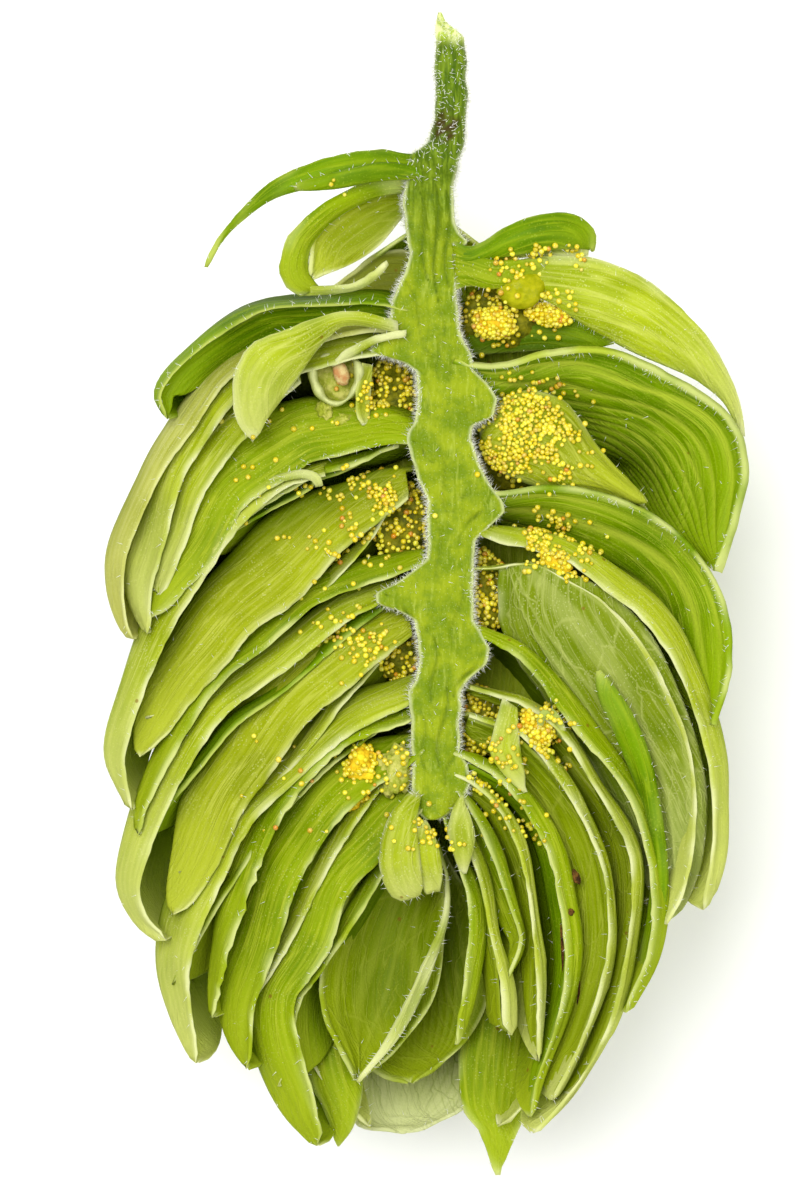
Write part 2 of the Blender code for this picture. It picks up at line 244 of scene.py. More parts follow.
def thinTissue(tree, colour, rough, height, relief, through, ior=1.42, gloss=0.1):
    # a satin surface that also lets part of the light shine through; relief is bump strength and mm
    strength, depth = relief
    bump = addNode(tree, "ShaderNodeBump", None, {
        "Strength": strength, "Distance": depth * mm, "Height": height}).outputs[0]
    surface = addNode(tree, "ShaderNodeBsdfPrincipled", None, {
        "Base Color": colour, "Roughness": rough, "IOR": ior, "Specular IOR Level": gloss, "Normal": bump})
    shine = addNode(tree, "ShaderNodeBsdfTranslucent", None, {"Color": colour, "Normal": bump})
    mixed = addNode(tree, "ShaderNodeMixShader", None, {
        0: through, 1: surface.outputs[0], 2: shine.outputs[0]})
    addNode(tree, "ShaderNodeOutputMaterial", None, {"Surface": mixed.outputs[0]})


bractTissue = {
    "streak": 0.16,       # mm between the fine fibres that run along a bract
    "blotch": 2.6,        # mm across the soft colour patches
    "nerve": 0.5,         # mm between the thin pale nerves
    "bloom": 0.9,         # mm across the whitish bloom
    "cell": 0.11,         # mm, leaf cells, drawn twice their real size so that they show
    "net": (0.9, 3.0),    # mm, meshes of the vein net across and along
    "freckle": 1.9,       # mm between the tiny brown freckles
    "freckleColour": "#8C6A1A",
    "relief": (0.6, 0.06),  # bump strength, and its depth in mm
    "through": 0.40,      # share of the light that shines through the thin tissue
    "roughness": (0.34, 0.60),
    # colours, and where they differ from the usual the strength of the vein net, the ribs and the bloom
    # in each look, deep is a painted shade colour that darkens a bract the deeper it lies below the cut face
    "looks": {
        "fresh": {"body": "#98B002", "dark": "#7A9600", "vein": "#BCC832", "edge": "#DCE292",
                  "tip": "#AABA20", "deep": "#587400"},
        "pale": {"body": "#B6C422", "dark": "#96A806", "vein": "#D4DA68", "edge": "#E8EAB2",
                 "tip": "#CFD576", "deep": "#708600"},
        "deep": {"body": "#7EA400", "dark": "#5E8400", "vein": "#A2BA18", "edge": "#C8D268",
                 "tip": "#8CA60A", "deep": "#466200", "frost": 0.2},
        "olive": {"body": "#C6C95C", "dark": "#A8AE34", "vein": "#DCDE8C", "edge": "#DEE09C",
                  "tip": "#C4C664", "deep": "#7E8810"},
        "dusty": {"body": "#AEBA14", "dark": "#8E9C00", "vein": "#CCD254", "edge": "#E4E6A2",
                  "tip": "#BEC83A", "deep": "#647A00"},
        "veined": {"body": "#84980C", "dark": "#6E8600", "vein": "#BCC668", "edge": "#DCE0A0",
                   "tip": "#BEC872", "deep": "#5E7400", "net": 0.55},
        "papery": {"body": "#C9CE8C", "dark": "#AEB666", "vein": "#8FA030", "edge": "#DCE0AC",
                   "tip": "#D6DAA2", "deep": "#8E9A3C", "net": 0.6},
        "ribbed": {"body": "#88A800", "dark": "#6E9200", "vein": "#BFCE3C", "edge": "#D4DC84",
                   "tip": "#9AB40C", "deep": "#5A7A00", "rib": 1.0, "frost": 0.1},
        "hollow": {"body": "#94A804", "dark": "#7A9000", "vein": "#B4C03C", "edge": "#D0D882",
                   "tip": "#A2B216", "deep": "#587000", "net": 0.45, "frost": 0.05},
    },
}


def freshBract(name, look):
    # thin living leaf tissue: satin, ribbed along its length, and it glows where light comes through
    spec = bractTissue
    shades = spec["looks"][look]
    tones = {key: linear(value) for key, value in shades.items() if isinstance(value, str)}
    material, tree, place = newMaterial(name)
    edge, along, ridge, shadow = paintedLook(tree)
    grain = addNode(tree, "ShaderNodeUVMap", {"uv_map": "grain"}).outputs[0]
    streaks = noise(tree, stretch(tree, grain, (1 / spec["streak"], 0.35, 1)), 1.0, 3.0, 0.6)
    blotches = noise(tree, place, 1000 / spec["blotch"], 3.0)
    cells = cellular(tree, place, 1000 / spec["cell"])
    lines = noise(tree, stretch(tree, grain, (1 / spec["nerve"], 0.1, 1)), 1.0)
    fromLine = calc(tree, "ABSOLUTE", calc(tree, "SUBTRACT", lines, 0.5))
    nerve = ramp(tree, fromLine, 0.022, 0.0, (0.0, 0.6))
    grit = calc(tree, "SUBTRACT", noise(tree, place, 1000 / spec["bloom"], 4.0, 0.7), cells)
    relief = calc(tree, "MULTIPLY_ADD", nerve, 0.8, streaks)
    colour = mixColour(tree, ramp(tree, blotches, 0.35, 0.68), tones["body"], tones["dark"])
    colour = tinted(tree, colour, streaks, 0.45, 0.75, 0.45, tones["vein"])
    colour = tinted(tree, colour, streaks, 0.5, 0.25, 0.40, tones["dark"])
    colour = tinted(tree, colour, ridge, 0.15, 1.0, shades.get("rib", 0.45), tones["vein"])
    colour = mixColour(tree, nerve, colour, tones["vein"])
    colour = tinted(tree, colour, grit, 0.1, 0.5, 0.3, tones["vein"])
    colour = tinted(tree, colour, grit, 0.2, 0.6, shades.get("frost", 0.45), tones["edge"])
    colour = tinted(tree, colour, cells, 0.35, 0.1, 0.16, tones["vein"])
    if "net" in shades:
        wobble = addNode(tree, "ShaderNodeTexNoise", None, {"Vector": grain, "Scale": 0.7, "Detail": 2.0})
        bent = addNode(tree, "ShaderNodeVectorMath", {"operation": "MULTIPLY_ADD"}, {
            0: wobble.outputs["Color"], 1: (1.2, 1.2, 0.0), 2: grain}).outputs[0]
        across, length = spec["net"]
        net = addNode(tree, "ShaderNodeTexVoronoi", {
            "feature": "DISTANCE_TO_EDGE", "voronoi_dimensions": "2D"}, {
            "Vector": stretch(tree, bent, (1 / across, 1 / length, 1)), "Scale": 1.0}).outputs["Distance"]
        vein = ramp(tree, net, 0.045, 0.0, (0.0, shades["net"]))
        colour = mixColour(tree, vein, colour, tones["vein"])
        relief = calc(tree, "ADD", relief, vein)
    colour = tinted(tree, colour, along, 0.55, 1.0, 0.8, tones["tip"])
    # painted shade: the deep colour, stronger the deeper the bract lies below the cut face
    colour = tinted(tree, colour, shadow, 0.0, 1.0, 0.85, tones["deep"])
    # pale margins: partly paler margin tissue, partly a painted highlight along the cut edge
    colour = tinted(tree, colour, edge, 0.1, 1.0, 0.9, tones["edge"])
    freckles = cellular(tree, place, 1000 / spec["freckle"])
    colour = tinted(tree, colour, freckles, 0.055, 0.03, 0.7, linear(spec["freckleColour"]))
    height = calc(tree, "MULTIPLY_ADD", cells, 0.35, relief)
    thinTissue(tree, colour, ramp(tree, streaks, 0.3, 0.7, spec["roughness"]), height, spec["relief"],
               spec["through"])
    return material


stemTissue = {
    "colours": {"flesh": ["#6A8206", "#8E9E14"], "strands": ["#BECA58", "#627C02"], "grains": ["#E0E6A4"],
                "skin": ["#345202", "#6A8418"], "pith": ["#A6BC3A", "#DDE3A0"], "groove": ["#4A6200"],
                "margin": ["#DDE2AC"], "scar": ["#3A1E10"]},
    "pithFrom": (0.0219, 0.0226),   # m along Y, where the stalk's skin gives way to pale pith
    "relief": (0.55, 0.08),         # bump strength, and its depth in mm
    "through": 0.14,
    "roughness": (0.3, 0.55),
}


def strigFlesh():
    # the cut stem: wet, grainy pith that glistens, with darker fibres; the stalk above is plain green skin
    spec = stemTissue
    tones = {key: [linear(code) for code in codes] for key, codes in spec["colours"].items()}
    material, tree, place = newMaterial("strigFlesh")
    edge, skin, groove, scar = paintedLook(tree)
    strands = noise(tree, stretch(tree, place, (6500, 1100, 5000)), 1.0, 3.0, distortion=0.6)
    mottle = noise(tree, place, 900.0, 4.0, 0.65)
    grains = cellular(tree, place, 9000.0)
    colour = mixColour(tree, ramp(tree, mottle, 0.36, 0.66), *tones["flesh"])
    colour = tinted(tree, colour, strands, 0.52, 0.75, 0.3, tones["strands"][0])
    colour = tinted(tree, colour, strands, 0.48, 0.28, 0.3, tones["strands"][1])
    colour = tinted(tree, colour, grains, 0.25, 0.05, 0.22, tones["grains"][0])
    colour = mixColour(tree, skin, colour, mixColour(tree, ramp(tree, strands, 0.35, 0.68), *tones["skin"]))
    along = addNode(tree, "ShaderNodeSeparateXYZ", None, {"Vector": place}).outputs[1]
    pale = mixColour(tree, ramp(tree, strands, 0.35, 0.6), *tones["pith"])
    colour = mixColour(tree, ramp(tree, along, *spec["pithFrom"]), colour, pale)
    # darker green along the grooves
    colour = tinted(tree, colour, groove, 0.0, 1.0, 0.8, tones["groove"][0])
    colour = tinted(tree, colour, edge, 0.1, 1.0, 0.6, tones["margin"][0])
    colour = mixColour(tree, scar, colour, tones["scar"][0])
    height = calc(tree, "MULTIPLY_ADD", grains, 0.6, strands)
    thinTissue(tree, colour, ramp(tree, mottle, 0.3, 0.7, spec["roughness"]), height, spec["relief"],
               spec["through"])
    return material


def resinBeads():
    # lupulin: glassy resin beads, lemon to orange, each with its own tint
    material, tree, place = newMaterial("lupulinResin")
    tint = addNode(tree, "ShaderNodeAttribute", {"attribute_name": "tint"}).outputs["Fac"]
    cloud = noise(tree, place, 6000.0)
    colour = mixColour(tree, ramp(tree, tint, 0.0, 0.55), linear("#F2EC3A"), linear("#EAD414"))
    colour = tinted(tree, colour, tint, 0.55, 0.8, 0.6, linear("#C6B808"))
    colour = tinted(tree, colour, tint, 0.9, 1.0, 1.0, linear("#D8921A"))
    colour = tinted(tree, colour, cloud, 0.4, 0.8, 0.4, linear("#FBF3A0"))
    thinTissue(tree, colour, 0.14, cloud, (0.2, 0.03), 0.32, ior=1.5, gloss=0.6)
    return material


def paleHair():
    # plant hair: colourless and silky
    material, tree, place = newMaterial("plantHair")
    cloud = noise(tree, place, 900.0)
    colour = mixColour(tree, cloud, linear("#F8FAE8"), linear("#FFFFFA"))
    thinTissue(tree, colour, 0.4, cloud, (0.1, 0.02), 0.45)
    return material


def grainy(name, light, dark, grain, rough, through, bumpStrength=0.5):
    # crumbly or dried tissue: mottled between two tones, its grain size in mm
    material, tree, place = newMaterial(name)
    cloud = noise(tree, place, 1000 / grain, 5.0, 0.65)
    colour = mixColour(tree, ramp(tree, cloud, 0.38, 0.64), linear(dark), linear(light))
    height = calc(tree, "ADD", cellular(tree, place, 2500 / grain), cloud)
    thinTissue(tree, colour, rough, height, (bumpStrength, 0.08), through)
    return material


print("materials")
tissue = {look: freshBract(f"{look}BractTissue", look) for look in bractTissue["looks"]}
tissue["strig"] = strigFlesh()
tissue["resin"] = resinBeads()
tissue["hair"] = paleHair()
# clotted yellow resin, pocket linings whose dark olive is painted shade, shrivelled pale tissue, glossy
# resin-soaked skin,
# a browning seed core and dead brown tissue
tissue["heap"] = grainy("lupulinHeap", "#F4DE2C", "#E4B41C", 0.35, 0.35, 0.2)
# painted shade: the dark olive of the pocket linings stands for the shade deep in the pockets
tissue["paintedShadeLining"] = grainy("cavityPaintedShade", "#7E7A10", "#4C5006", 0.5, 0.5, 0.1)
tissue["crumpled"] = grainy("crumpledBud", "#D9D670", "#A8B234", 0.4, 0.4, 0.35)
tissue["amber"] = grainy("amberPouch", "#C8C61C", "#A2A80A", 0.6, 0.12, 0.4, 0.2)
tissue["kernel"] = grainy("seedKernel", "#DCC888", "#C08A54", 0.4, 0.4, 0.3, 0.2)
tissue["dry"] = grainy("driedSpot", "#6B4A1E", "#2E1E0C", 0.25, 0.8, 0.0)

# bracts

sheet = {
    "thickness": 0.15,
    "edgeRound": 0.10,      # mm from a margin over which the sheet rounds off
    "ribGap": 0.42,         # mm between the lengthwise ribs at the widest place
    "ribHeight": 0.05,
    "ribFade": 0.25,        # mm from a margin over which the ribs fade
    "rolled": 0.07,         # height of the thickened roll along a free margin
    "ripple": 0.09,         # height of the soft unevenness
    "fray": 0.022,          # how far a margin wanders in and out
    "frayReach": 0.22,      # mm into the sheet that the wandering carries
    "bandReach": 0.28,      # mm over which a thick free margin thins out
    "paleBand": 0.4,        # mm over which a margin is whitish, partly paler margin tissue and partly painted highlight
    "tuck": 0.85,           # mm by which a bract tucks in under its outer neighbour
    "tuckDepth": 1.7,       # how deep the tucked line lies below the cut face
    "lipRise": 0.18,        # how far a free margin stands above the cut face
    "paintedShadeDepth": 1.9,       # mm below the cut face at which the painted shade on a bract is darkest
    "nestedGap": 0.34,      # mm between the margins of bracts that lie inside each other
    "stepAlong": 0.32,
    "stepAcross": 0.12,
    "paleLooks": ("pale", "olive", "veined", "papery"),
}
carriers = []   # surfaces that glands and hairs grow on


def addCarrier(grid, hairy, facesUp, flip=False, stem=False, dense=0.0):
    carriers.append({"grid": grid, "hairy": hairy, "facesUp": facesUp, "flip": flip, "stem": stem,
                     "dense": dense})


def slotFor(look):
    return "bract_pale" if look in sheet["paleLooks"] else "bract_green"


def leafWidth(along, point=1.0):
    # a bract's width along its length, 1 at its widest
    rise = 0.45 + 0.55 * np.sin(np.clip(along / 0.35, 0, 1) * math.pi / 2)
    fall = np.sqrt(np.clip(1 - (np.clip(along - 0.35, 0, 1) / 0.65) ** 2.0, 0, 1))
    return np.where(along < 0.35, rise, fall ** point)


def runLength(grid, axis):
    # distance travelled over a grid along one of its axes, from that axis's first row
    steps = np.linalg.norm(np.diff(grid, axis=axis), axis=2)
    start = np.zeros_like(np.take(steps, [0], axis=axis))
    return np.append(start, np.cumsum(steps, axis=axis), axis=axis)


def smoothStep(value, low, high):
    t = np.clip((value - low) / (high - low), 0, 1)
    return t * t * (3 - 2 * t)


def sheetPiece(name, grid, look, slotName, nodes=(), seed=0, thickness=sheet["thickness"], band=0.0,
               ribs=None, ribHeight=sheet["ribHeight"], fray=sheet["fray"], paintedShadeDepth=sheet["paintedShadeDepth"],
               shaded=True, hairy=1.0, pale=1.0, bothMargins=False, footFree=False):
    # a closed leaf from its middle surface, with ribs, ripples, frayed and rounded margins
    rows, columns = grid.shape[:2]
    runAcross = runLength(grid, 1)
    runAlong = runLength(grid, 0)
    grain = np.stack([runAcross, runAlong], axis=-1)
    step = grid[:, 1:2] - grid[:, :1]
    aside = step / np.maximum(np.linalg.norm(step, axis=-1, keepdims=True), 1e-9)
    margin = grain[:, :1] * [0, 1]
    wander = waves(margin, 0.45, seed + 8) + 0.8 * waves(margin, 0.16, seed + 9)
    tooth = np.maximum(waves(margin, 0.9, seed + 10) - 1.3, 0)
    push = fray * (wander + 4.0 * tooth)
    grid = grid - aside * (push * np.exp(-(runAcross / sheet["frayReach"]) ** 2))[..., None]
    toOther = runAcross[:, -1:] - runAcross
    toTip = runAlong[-1:] - runAlong
    fromMargin = np.minimum(np.minimum(runAcross, toOther), toTip)
    if footFree:
        fromMargin = np.minimum(fromMargin, runAlong)
    along = runAlong / np.maximum(runAlong[-1:], 1e-6)
    share = np.linspace(0, 1, columns)[None, :] * np.ones((rows, 1))
    count = ribs or max(3, round(runAcross[:, -1].max() / sheet["ribGap"]))
    drift = 0.35 * waves(np.stack([share * 6, along * 3], axis=-1), 1.6, seed + 3)
    ridge = (0.5 + 0.5 * np.cos(2 * math.pi * (share * count + drift))) ** 3
    fade = np.clip(fromMargin / sheet["ribFade"], 0, 1)
    normal = normalsOf(grid)
    height = ribHeight * ridge * fade * (0.6 + 0.4 * waves(grain, 3.0, seed + 4))
    height += sheet["ripple"] * waves(grain * [1.0, 0.5], 1.6, seed + 5) * (0.4 + fade * 0.6)
    towardsEye = np.where(normal[..., 2] > 0, 1, -1) if shaded else 1
    rolled = np.exp(-((runAcross - 0.10) / 0.10) ** 2) - 0.8 * np.exp(-((runAcross - 0.42) / 0.15) ** 2)
    height += sheet["rolled"] * rolled * towardsEye * (0.6 + 0.5 * waves(grain, 2.6, seed + 12))
    middle = grid + normal * height[..., None]
    rounding = np.sqrt(1 - (1 - np.clip(fromMargin / sheet["edgeRound"], 0, 1)) ** 2)
    thick = thickness * (0.2 + 0.8 * rounding)
    swell = band * np.exp(-(runAcross / sheet["bandReach"]) ** 2)
    thick = thick * (1 + 0.25 * waves(grain, 1.7, seed + 6)) + swell
    first = middle + normal * thick[..., None] / 2
    second = middle - normal * thick[..., None] / 2
    for layer in (first, second):
        layer[..., 2] = np.maximum(layer[..., 2], 0.01)
    points = np.vstack([first.reshape(-1, 3), second.reshape(-1, 3)])
    half = rows * columns
    quads = gridQuads(rows, columns)
    index = np.arange(half).reshape(rows, columns)
    walls = []
    for a, b in ((index[1:, 0], index[:-1, 0]), (index[:-1, -1], index[1:, -1]),
                 (index[0, :-1], index[0, 1:]), (index[-1, 1:], index[-1, :-1])):
        walls.append(np.stack([a, b, b + half, a + half], axis=1))
    faces = np.vstack([quads, quads[:, ::-1] + half] + walls)
    # pale margins: a thin painted highlight along every cut edge, and a wider whitish band that is partly
    # paler margin tissue and partly painted highlight, patchy along the margin
    paleBand = sheet["paleBand"] * (1 + 0.3 * waves(grain, 2.2, seed + 7))
    edgeStrength = np.clip(0.7 + 0.5 * waves(grain, 1.1, seed + 11), 0.15, 1)
    paintedEdgeHighlight = 0.5 * np.exp(-(fromMargin / 0.07) ** 2)
    edge = edgeStrength * (paintedEdgeHighlight + pale * 0.5 * np.exp(-(runAcross / paleBand) ** 2))
    if bothMargins:
        edge += edgeStrength * pale * 0.4 * np.exp(-(toOther / paleBand) ** 2)
    # painted shade, stored in the look's last channel: darker the deeper below the cut face, fading towards
    # the tip
    tone = np.zeros_like(along)
    if shaded:
        tone = smoothStep(top - grid[..., 2], 0.0, paintedShadeDepth)
        tone = tone * (1 - 0.65 * smoothStep(along, 0.6, 0.97))
    looks = np.stack([np.clip(edge, 0, 1), along, ridge, tone], axis=-1).reshape(-1, 4)
    uv = grain.reshape(-1, 2)
    mesh = meshFrom(name, points, faces, np.vstack([uv, uv]), np.vstack([looks, looks]))
    facing = first if normal[:, :max(2, columns // 3), 2].mean() > 0 else second
    fuzz = hairy * (np.exp(-(fromMargin / 0.13) ** 2) + 0.012)
    addCarrier(facing, fuzz, shaded, flip=facing is second)
    finishPiece(name, mesh, tissue[look], nodes)


def cutBract(name, side, rim, width, turn, look, nodes=(), seed=0, outer=28, lip=0.0, tuck=sheet["tuck"],
             tuckDepth=sheet["tuckDepth"], tilt=0.7, blunt=0.0, shift=0.0, sink=0.0, part=(0.0, 1.0),
             face=None, **extra):
    # a bract beside the cut: its free margin lies along the cut face. From there a lip that faces up
    # runs outward and tucks in under the next bract, and the sheet turns down round the cone's axis.
    steps = max(24, round(smoothPath(rim, 8)[1] / sheet["stepAlong"]))
    path, _ = smoothPath(rim, steps)
    path = path[round(part[0] * steps):round(part[1] * steps) + 1]
    steps = len(path) - 1
    along = np.linspace(0, 1, steps + 1)
    path[:, 0] = cone["axisX"] - np.maximum(side * (path[:, 0] - cone["axisX"]), 0.25)
    tangent = np.gradient(path, axis=0)
    tangent /= np.linalg.norm(tangent, axis=1, keepdims=True)
    inner = np.stack([-tangent[:, 1], tangent[:, 0]], axis=1)
    taper = np.sin(np.clip(along * 0.96 + 0.04, 0, 1) * math.pi) ** 0.55
    path = path + inner * (shift * taper[:, None])
    roundEnd = np.sqrt(np.clip(1 - (np.clip(along - 0.94, 0, 1) / 0.06) ** 2, 0, 1))
    taper = np.maximum(taper, blunt * (along > 0.5) * roundEnd)
    fold = path - inner * (tuck * taper[:, None] if lip else 0)
    radius = np.maximum(cone["axisX"] - fold[:, 0], 0.2)
    columns = max(10, round(width / sheet["stepAcross"] / 1.4))
    reach = np.clip((radius - coneRadius(path[:, 1]) + 2.6) / 1.6, 0, 1)
    most = np.radians(turn + (min(turn, outer) - turn) * reach)
    span = np.minimum(most, np.maximum(width * leafWidth(along, 1.6), 0.06) / radius)
    across = np.linspace(0, 1, columns + 1)
    angle = span[:, None] * across
    sheetGrid = coneLaw(radius[:, None], fold[:, 1][:, None], angle)
    if lip:
        sheetGrid[..., 2] -= tuckDepth * taper[:, None] * np.cos(angle)
        lipColumns = max(6, round(lip * 1.3 / sheet["stepAcross"]))
        u = np.linspace(0, 1, lipColumns, endpoint=False)
        reachOut = lip * taper * (1 + 0.10 * waves(path, 3.4, seed + 15))
        margin = path + inner * reachOut[:, None]
        lipGrid = np.empty((steps + 1, lipColumns, 3))
        lipGrid[..., :2] = margin[:, None] * (1 - u)[None, :, None] + fold[:, None] * u[None, :, None]
        lipGrid[..., 2] = top + (sheet["lipRise"] * (1 - u) ** 2 - tuckDepth * u ** 1.35) * taper[:, None]
        grid = np.concatenate([lipGrid, sheetGrid], axis=1)
        for _ in range(3):
            grid[:, 1:-1] = 0.5 * grid[:, 1:-1] + 0.25 * (grid[:, :-2] + grid[:, 2:])
    else:
        slide = tilt * taper[:, None] * (1 - np.exp(-np.sin(angle) / 0.4))
        sheetGrid[..., 0] += inner[:, 0][:, None] * slide
        sheetGrid[..., 1] += inner[:, 1][:, None] * slide
        grid = sheetGrid
        for _ in range(14):
            between = 0.25 * (grid[:-2] + grid[2:] - 2 * grid[1:-1])
            grid[1:-1] += 1.6 * between * np.minimum(1, across * 3)[None, :, None]
    grid[..., 2] -= sink
    if side > 0:
        grid[..., 0] = 2 * cone["axisX"] - grid[..., 0]
    grid = organic(grid)
    sheetPiece(name, grid, look, slotFor(look), nodes, seed, **extra)
    if face:
        # the bract's hollow side, which slopes in and down from its margin
        reach, drop, faceLook = face
        columns = max(8, round(reach * 1.3 / sheet["stepAcross"]))
        u = np.linspace(0, 1, columns + 1)
        start = lip - 0.12
        spread = taper[:, None] * (start + reach * u * (1 + 0.12 * waves(path, 4.0, seed + 16))[:, None])
        hollow = np.empty((steps + 1, columns + 1, 3))
        hollow[..., :2] = path[:, None] + inner[:, None] * spread[..., None]
        hollow[..., 2] = top - 0.22 - drop * u ** 0.8 * taper[:, None]
        if side > 0:
            hollow[..., 0] = 2 * cone["axisX"] - hollow[..., 0]
        sheetPiece(f"{name}Face", organic(hollow), faceLook, "bract_green", (), seed + 5, pale=0.3,
                   paintedShadeDepth=4.5, thickness=0.11)


# from the stalk down; a rim is the line (x, y) along which a bract tucks under its outer neighbour, or
# its free margin where it has no lip
leftBracts = [
    dict(node="bract_left_shoulder", width=5.0, turn=60, look="deep", lip=0.6, tuck=0.05, hairy=4.0,
         face=(1.5, 1.0, "deep"),
         rim=[(-0.9, 11.5), (-2.2, 12), (-3.8, 12.1), (-6.2, 12), (-8.2, 10.9), (-10.1, 9.4),
              (-10.8, 8.1), (-10.3, 7.1)]),
    dict(node="bract_left_outer_1", width=5.0, turn=60, look="olive", lip=1.0, tuck=0.1,
         rim=[(-0.9, 10.6), (-2.2, 11), (-4, 10.9), (-6.7, 10.1), (-8.7, 9.1), (-10.2, 7.1),
              (-11.6, 4.9), (-12.8, 2.2), (-12.9, 0.4), (-12.4, -1.2), (-11.9, -1.7)]),
    dict(node="bract_left_outer_2", width=5.0, turn=60, look="pale", lip=1.1,
         rim=[(-0.9, 9.8), (-2.2, 10.2), (-4.2, 10.1), (-6.6, 9.4), (-8.6, 8.1), (-10.1, 6.2),
              (-11, 4.3), (-11.7, 1.6), (-11.8, 0.2), (-11.4, -1.5)]),
    dict(node="bract_left_outer_3", width=5.0, turn=60, look="pale", lip=1.3,
         rim=[(-5, 8.9), (-5.8, 8.6), (-6.6, 8.1), (-8.6, 6.5), (-9.9, 4.8), (-10.6, 2.9), (-11, 1.5),
              (-11, 0.1)]),
    dict(node="bract_left_hairy", nested=2, width=6.0, turn=70, look="fresh", lip=1.9, tuckDepth=0.9,
         hairy=5.0,
         rim=[(-0.5, 6.4), (-1.6, 6.9), (-3.2, 7.1), (-5, 7.1), (-6.9, 6.2), (-8.5, 4.8), (-9.8, 2.9),
              (-10.7, 1.2), (-11.3, -0.8)]),
    dict(node="bract_left_curled", width=5.0, turn=70, look="pale", lip=0.45, tuck=0.9, tuckDepth=1.2,
         rim=[(-3.9, 5), (-4.8, 4.8), (-5.8, 4.4), (-8.3, 2.5), (-10.3, 0), (-11.4, -2.6),
              (-12.3, -5.9), (-12.2, -7.4), (-11.8, -8.6)]),
    dict(node="bracteole_left_dusted", nested=1, width=5.0, turn=70, look="dusty", lip=2.5,
         tuckDepth=1.7,
         rim=[(-0.9, 4.7), (-2.2, 4.5), (-3.6, 3.9), (-5.2, 3), (-7, 1.8), (-9.2, -0.5), (-10.9, -3.7),
              (-11.5, -5.4), (-11.5, -6.4)]),
    dict(node="bract_left_thin", width=5.5, turn=70, look="fresh", lip=0.5, tuck=0.9, tuckDepth=1.2,
         rim=[(0.2, 1.6), (-1.4, 1.2), (-2.8, 0.8), (-4.6, 0.1), (-6.5, -1.4), (-8.3, -3),
              (-10.1, -5.5), (-11.3, -8.2), (-11.5, -9.6)]),
    dict(node="bract_left_broad", nested=1, width=5.5, turn=70, look="pale", lip=1.0, tuck=0.8,
         tuckDepth=1.5,
         rim=[(-0.7, 0.5), (-2, 0.2), (-3.4, -0.4), (-5.2, -1.5), (-7.2, -2.9), (-8.9, -4.3),
              (-10.4, -6.6), (-11.4, -9), (-11.9, -11.3), (-11.4, -12.8), (-10.4, -13.6)]),
    dict(node="bracteole_left_low", nested=1, width=5.5, turn=70, look="dusty", lip=2.5, tuckDepth=1.6,
         rim=[(-0.7, -0.7), (-2, -0.9), (-3.6, -1.4), (-5.4, -2.4), (-6.9, -3.9), (-8.1, -5.6),
              (-9, -7.7), (-9.8, -10.6), (-10.1, -12.6)]),
    dict(node="bract_left_low_1", nested=1, width=5.5, turn=70, look="pale", lip=1.2,
         rim=[(0.1, -3.2), (-1.4, -3.8), (-2.8, -4.4), (-5.2, -5.9), (-7.2, -7.9), (-8.6, -10),
              (-9.8, -12.2), (-10.3, -14.6), (-10, -16.6), (-9.2, -18.6)]),
    dict(node="bract_left_low_2", width=5.5, turn=75, look="fresh", lip=0.7, tuck=0.8, tuckDepth=1.3,
         fray=0.06,
         rim=[(-0.3, -4.5), (-1.4, -4.9), (-3.2, -5.5), (-4.8, -6.7), (-6.2, -8.5), (-7.2, -10.6),
              (-8, -12.8), (-8.5, -14.8), (-8.6, -16.9)]),
    dict(node="bract_left_low_3", nested=1, width=5.5, turn=75, look="fresh", lip=1.7,
         rim=[(-0.4, -5.6), (-1.6, -6.2), (-3, -6.9), (-4.8, -8.4), (-6.2, -10.3), (-7.1, -12.4),
              (-7.8, -14.6), (-7.9, -16.6), (-7.1, -18.8)]),
    dict(node="bract_left_tip_1", nested=1, width=5.5, turn=80, look="fresh", lip=2.0, blunt=0.35,
         rim=[(0.3, -7.5), (-1, -8), (-2.4, -8.8), (-4, -10.2), (-5.3, -11.8), (-6.3, -13.6),
              (-6.9, -15.8), (-6.4, -18.2), (-5.4, -20.4), (-4.4, -21.9)]),
]
